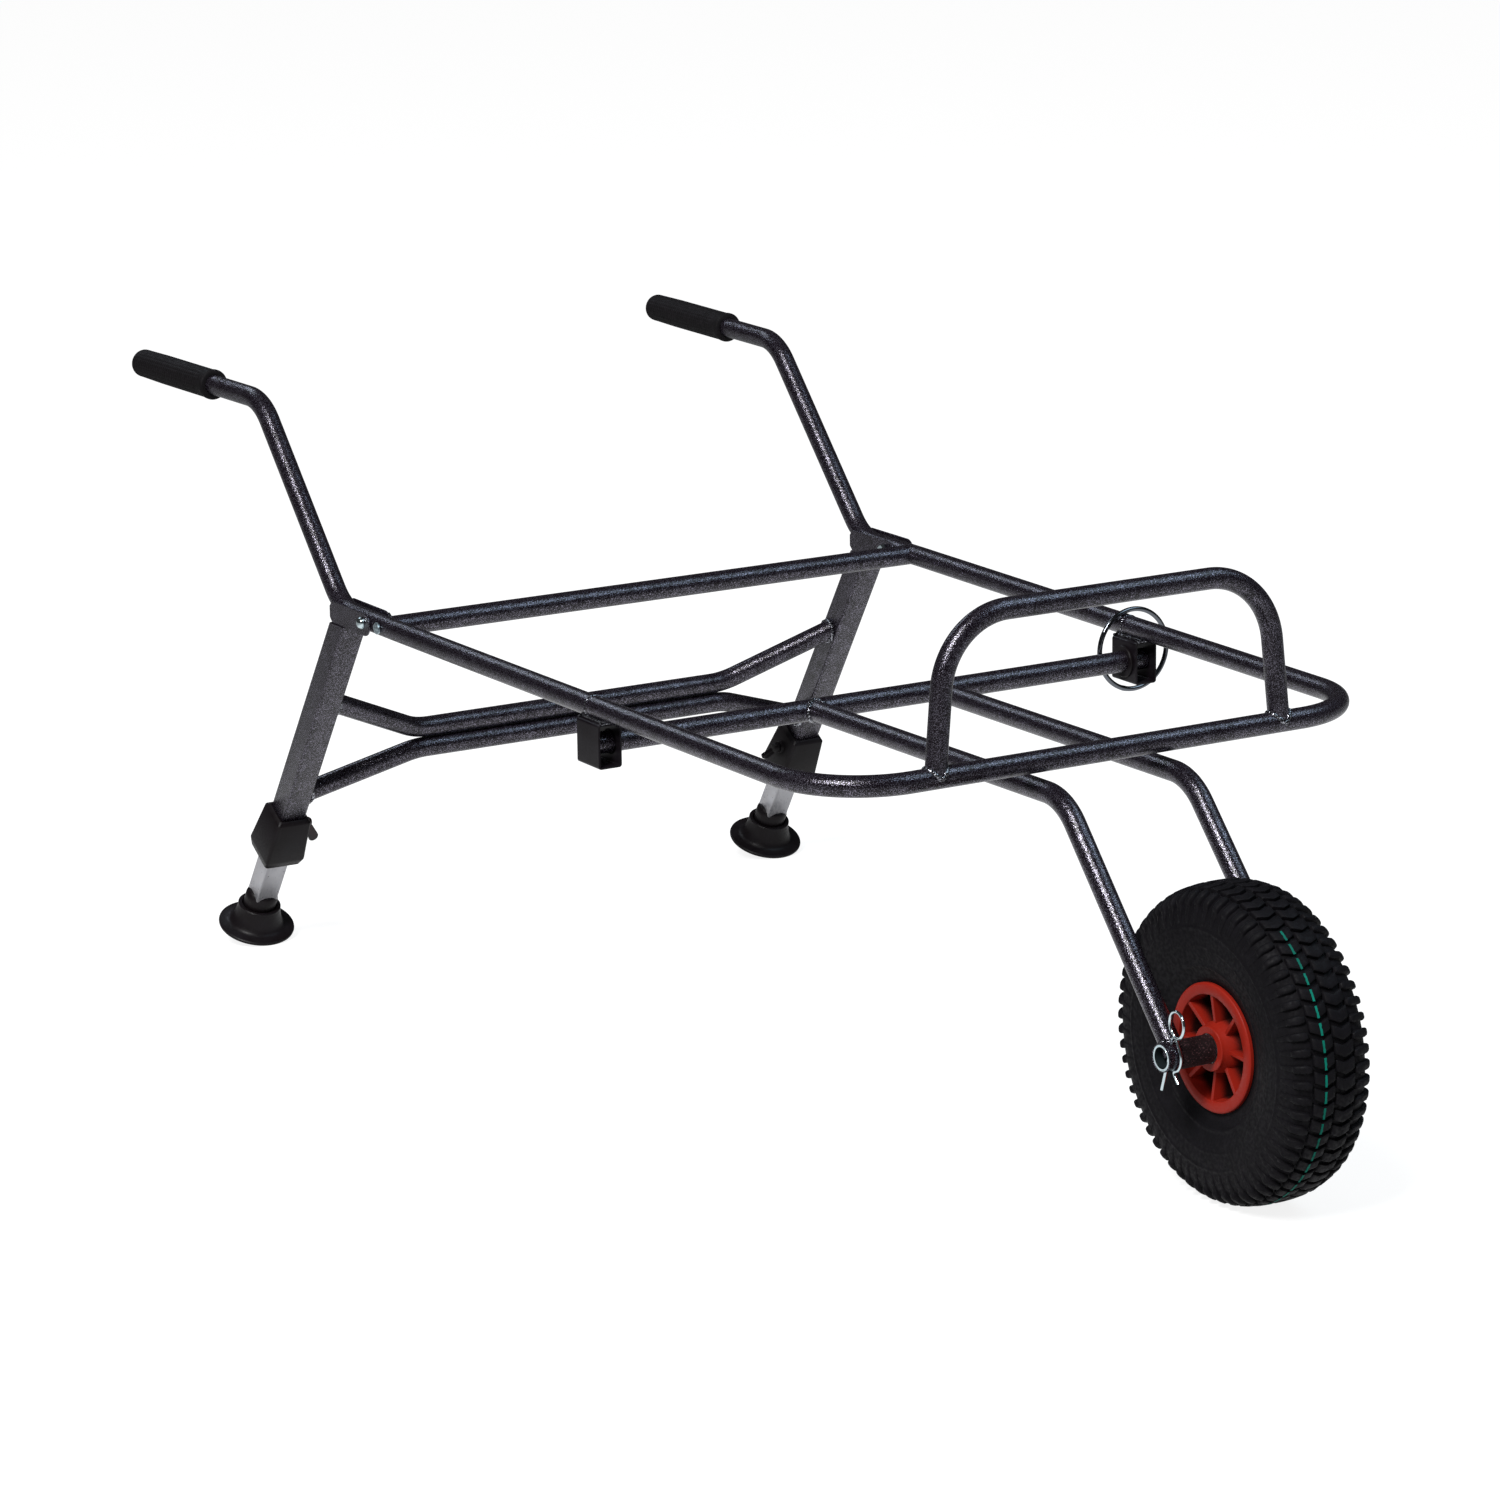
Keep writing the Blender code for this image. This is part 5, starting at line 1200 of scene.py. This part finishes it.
def make_clamp_screw(side, sign):
    """Screw with one flat wing, and the boss of the collar that it turns in."""
    screw = [(0.0030, 0.0), (0.0030, 0.0123), (0.0058, 0.0123), (0.0060, 0.0130), (0.0056, 0.0170)]
    screw += [(0.0040, 0.0195), (0.0006, 0.0200)]
    boss = [(0.0034, 0.0050), (0.0072, 0.0050), (0.0070, 0.0115), (0.0066, 0.0120), (0.0034, 0.0120)]
    wing = [[Vector((u, thick, v)) for u, v in WING_OUTLINE] for thick in (-WING_HALF, WING_HALF)]
    joint = JOINTS["clamp_screw_turn_" + side]
    place = frame_along(Vector(joint["pos_m"]), Vector(joint["axis"]), Z_AXIS)
    bm = turned(place, screw, 40)
    skin(placed(place @ Matrix.Rotation(WING_TURN[side], 4, 'Z'), wing), bm=bm)
    body = "clamp_screw_" + side
    look = KNOB if side == "right" else PLASTIC
    piece("wing_screw_" + side, bm, look, body, body, bevel=0.0006)
    piece("clamp_boss_" + side, turned(place, boss, 40, True), PLASTIC, "legs")


def both_sides(make):
    for side, sign in SIDES:
        make(side, sign)


def dress_nodes():
    """Finishes for the solids that show as they are."""
    finish = {
        "inner_tube": GRIP,
        "valve_stem": GRIP,
        "crossbar_plug_right": STEEL,
        "crossbar_plug_left": STEEL,
    }
    for name, look in finish.items():
        node = frame["nodes"][name]
        node.data.materials.clear()
        node.data.materials.append(look.material)


# Stage, light and camera
FLOOR_SIZE = 30.0
FLOOR_SHADE = 0.30
FLOOR_GLOW = 0.85
FLOOR_MIRRORED = 0.55
FLOOR_MIRRORED_FAR = 0.05
BRIGHT_FLOOR_MIDDLE = (0.0, -0.10, 0.0)
BRIGHT_FLOOR = (0.9, 1.6)
WORLD_LIGHT = 0.34
WORLD_MIRRORED = 0.035
MIDDLE = Vector((0.0, -0.20, 0.35))
CAMERA_PLACE = (-2.730, -3.726, 1.488)
CAMERA_TURN = math.radians(30.74)
CAMERA_DOWN = math.radians(12.899)
CAMERA_ROLL = math.radians(-1.45)
LENS = 125.66


def by_ray(tree, camera, gloss, rest):
    """Strength for any ray, with what the camera's and mirrored rays get on top of it."""
    rays = tree.nodes.new("ShaderNodeLightPath").outputs
    value = rest
    for ray, extra in (("Is Camera Ray", camera), ("Is Transmission Ray", camera), ("Is Glossy Ray", gloss)):
        value = tree.maths('MULTIPLY_ADD', rays[ray], extra, value)
    return value


def make_floor():
    """Pale floor that keeps the shadow. Its mirror image in glossy pieces fades with distance."""
    look = Look("white_floor", None, (FLOOR_SHADE, FLOOR_SHADE, FLOOR_SHADE), 1.0, specular=0.0)
    distance = look.nodes.new("ShaderNodeVectorMath")
    distance.operation = 'DISTANCE'
    away = look.feed(distance, "Value", {0: look.place, 1: BRIGHT_FLOOR_MIDDLE})
    mirrored = look.ramp(away, *BRIGHT_FLOOR, FLOOR_MIRRORED, FLOOR_MIRRORED_FAR, 'LINEAR')
    look.shader.inputs["Emission Color"].default_value = (1.0, 1.0, 1.0, 1.0)
    look.drive("Emission Strength", by_ray(look, FLOOR_GLOW, mirrored, 0.0))
    bm = bmesh.new()
    bmesh.ops.create_grid(bm, x_segments=1, y_segments=1, size=FLOOR_SIZE)
    show("floor", bm, look)


def make_world():
    world = bpy.data.worlds.new("studio")
    bpy.context.scene.world = world
    tree = Tree(world)
    back = tree.nodes["Background"]
    back.inputs["Color"].default_value = (1.0, 1.0, 1.0, 1.0)
    strength = by_ray(tree, 1.0 - WORLD_LIGHT, WORLD_MIRRORED - WORLD_LIGHT, WORLD_LIGHT)
    tree.links.new(strength, back.inputs["Strength"])


def area_light(name, direction, distance, size, power, colour=(1.0, 1.0, 1.0)):
    """Soft box in a direction from the middle of the object."""
    direction = Vector(direction)
    data = bpy.data.lights.new(name, 'AREA')
    data.color = colour
    data.shape = 'RECTANGLE'
    data.size, data.size_y = size
    data.energy = power
    lamp = bpy.data.objects.new(name, data)
    lamp.location = MIDDLE + direction.normalized() * distance
    lamp.rotation_euler = (-direction).to_track_quat('-Z', 'Y').to_euler()
    bpy.context.scene.collection.objects.link(lamp)


def make_camera():
    data = bpy.data.cameras.new("camera")
    data.sensor_width = 36.0
    data.lens = LENS
    data.clip_start = 0.1
    data.clip_end = 200.0
    camera = bpy.data.objects.new("camera", data)
    matrix = Matrix.Translation(at(*CAMERA_PLACE)) @ Matrix.Rotation(-CAMERA_TURN, 4, 'Z')
    matrix @= Matrix.Rotation(math.radians(90.0) - CAMERA_DOWN, 4, 'X')
    matrix @= Matrix.Rotation(CAMERA_ROLL, 4, 'Z')
    camera.matrix_world = matrix
    bpy.context.scene.collection.objects.link(camera)
    bpy.context.scene.camera = camera


make_camera()
both_sides(make_rail)
both_sides(make_grip)
make_front()
both_sides(make_socket)
make_crossbar()
both_sides(make_pivot_bolt)
make_strap_ring()
make_fork()
make_axle()
make_tyre()
make_stripe()
make_rim()
both_sides(make_bearing)
make_braces()
both_sides(make_bracket)
both_sides(make_leg)
both_sides(make_clamp_screw)
dress_nodes()
make_floor()
make_world()
area_light("key", (-0.585, -0.380, 0.724), 12.0, (2.3, 4.4), 1200.0)
area_light("cool", (0.50, -0.40, 0.77), 3.4, (2.0, 1.6), 26.0, (0.66, 0.86, 1.0))
area_light("back", (-0.10, 0.80, 0.59), 3.4, (1.2, 0.5), 9.0, (0.80, 0.90, 1.0))
scene = bpy.context.scene
scene.view_settings.view_transform = 'Standard'
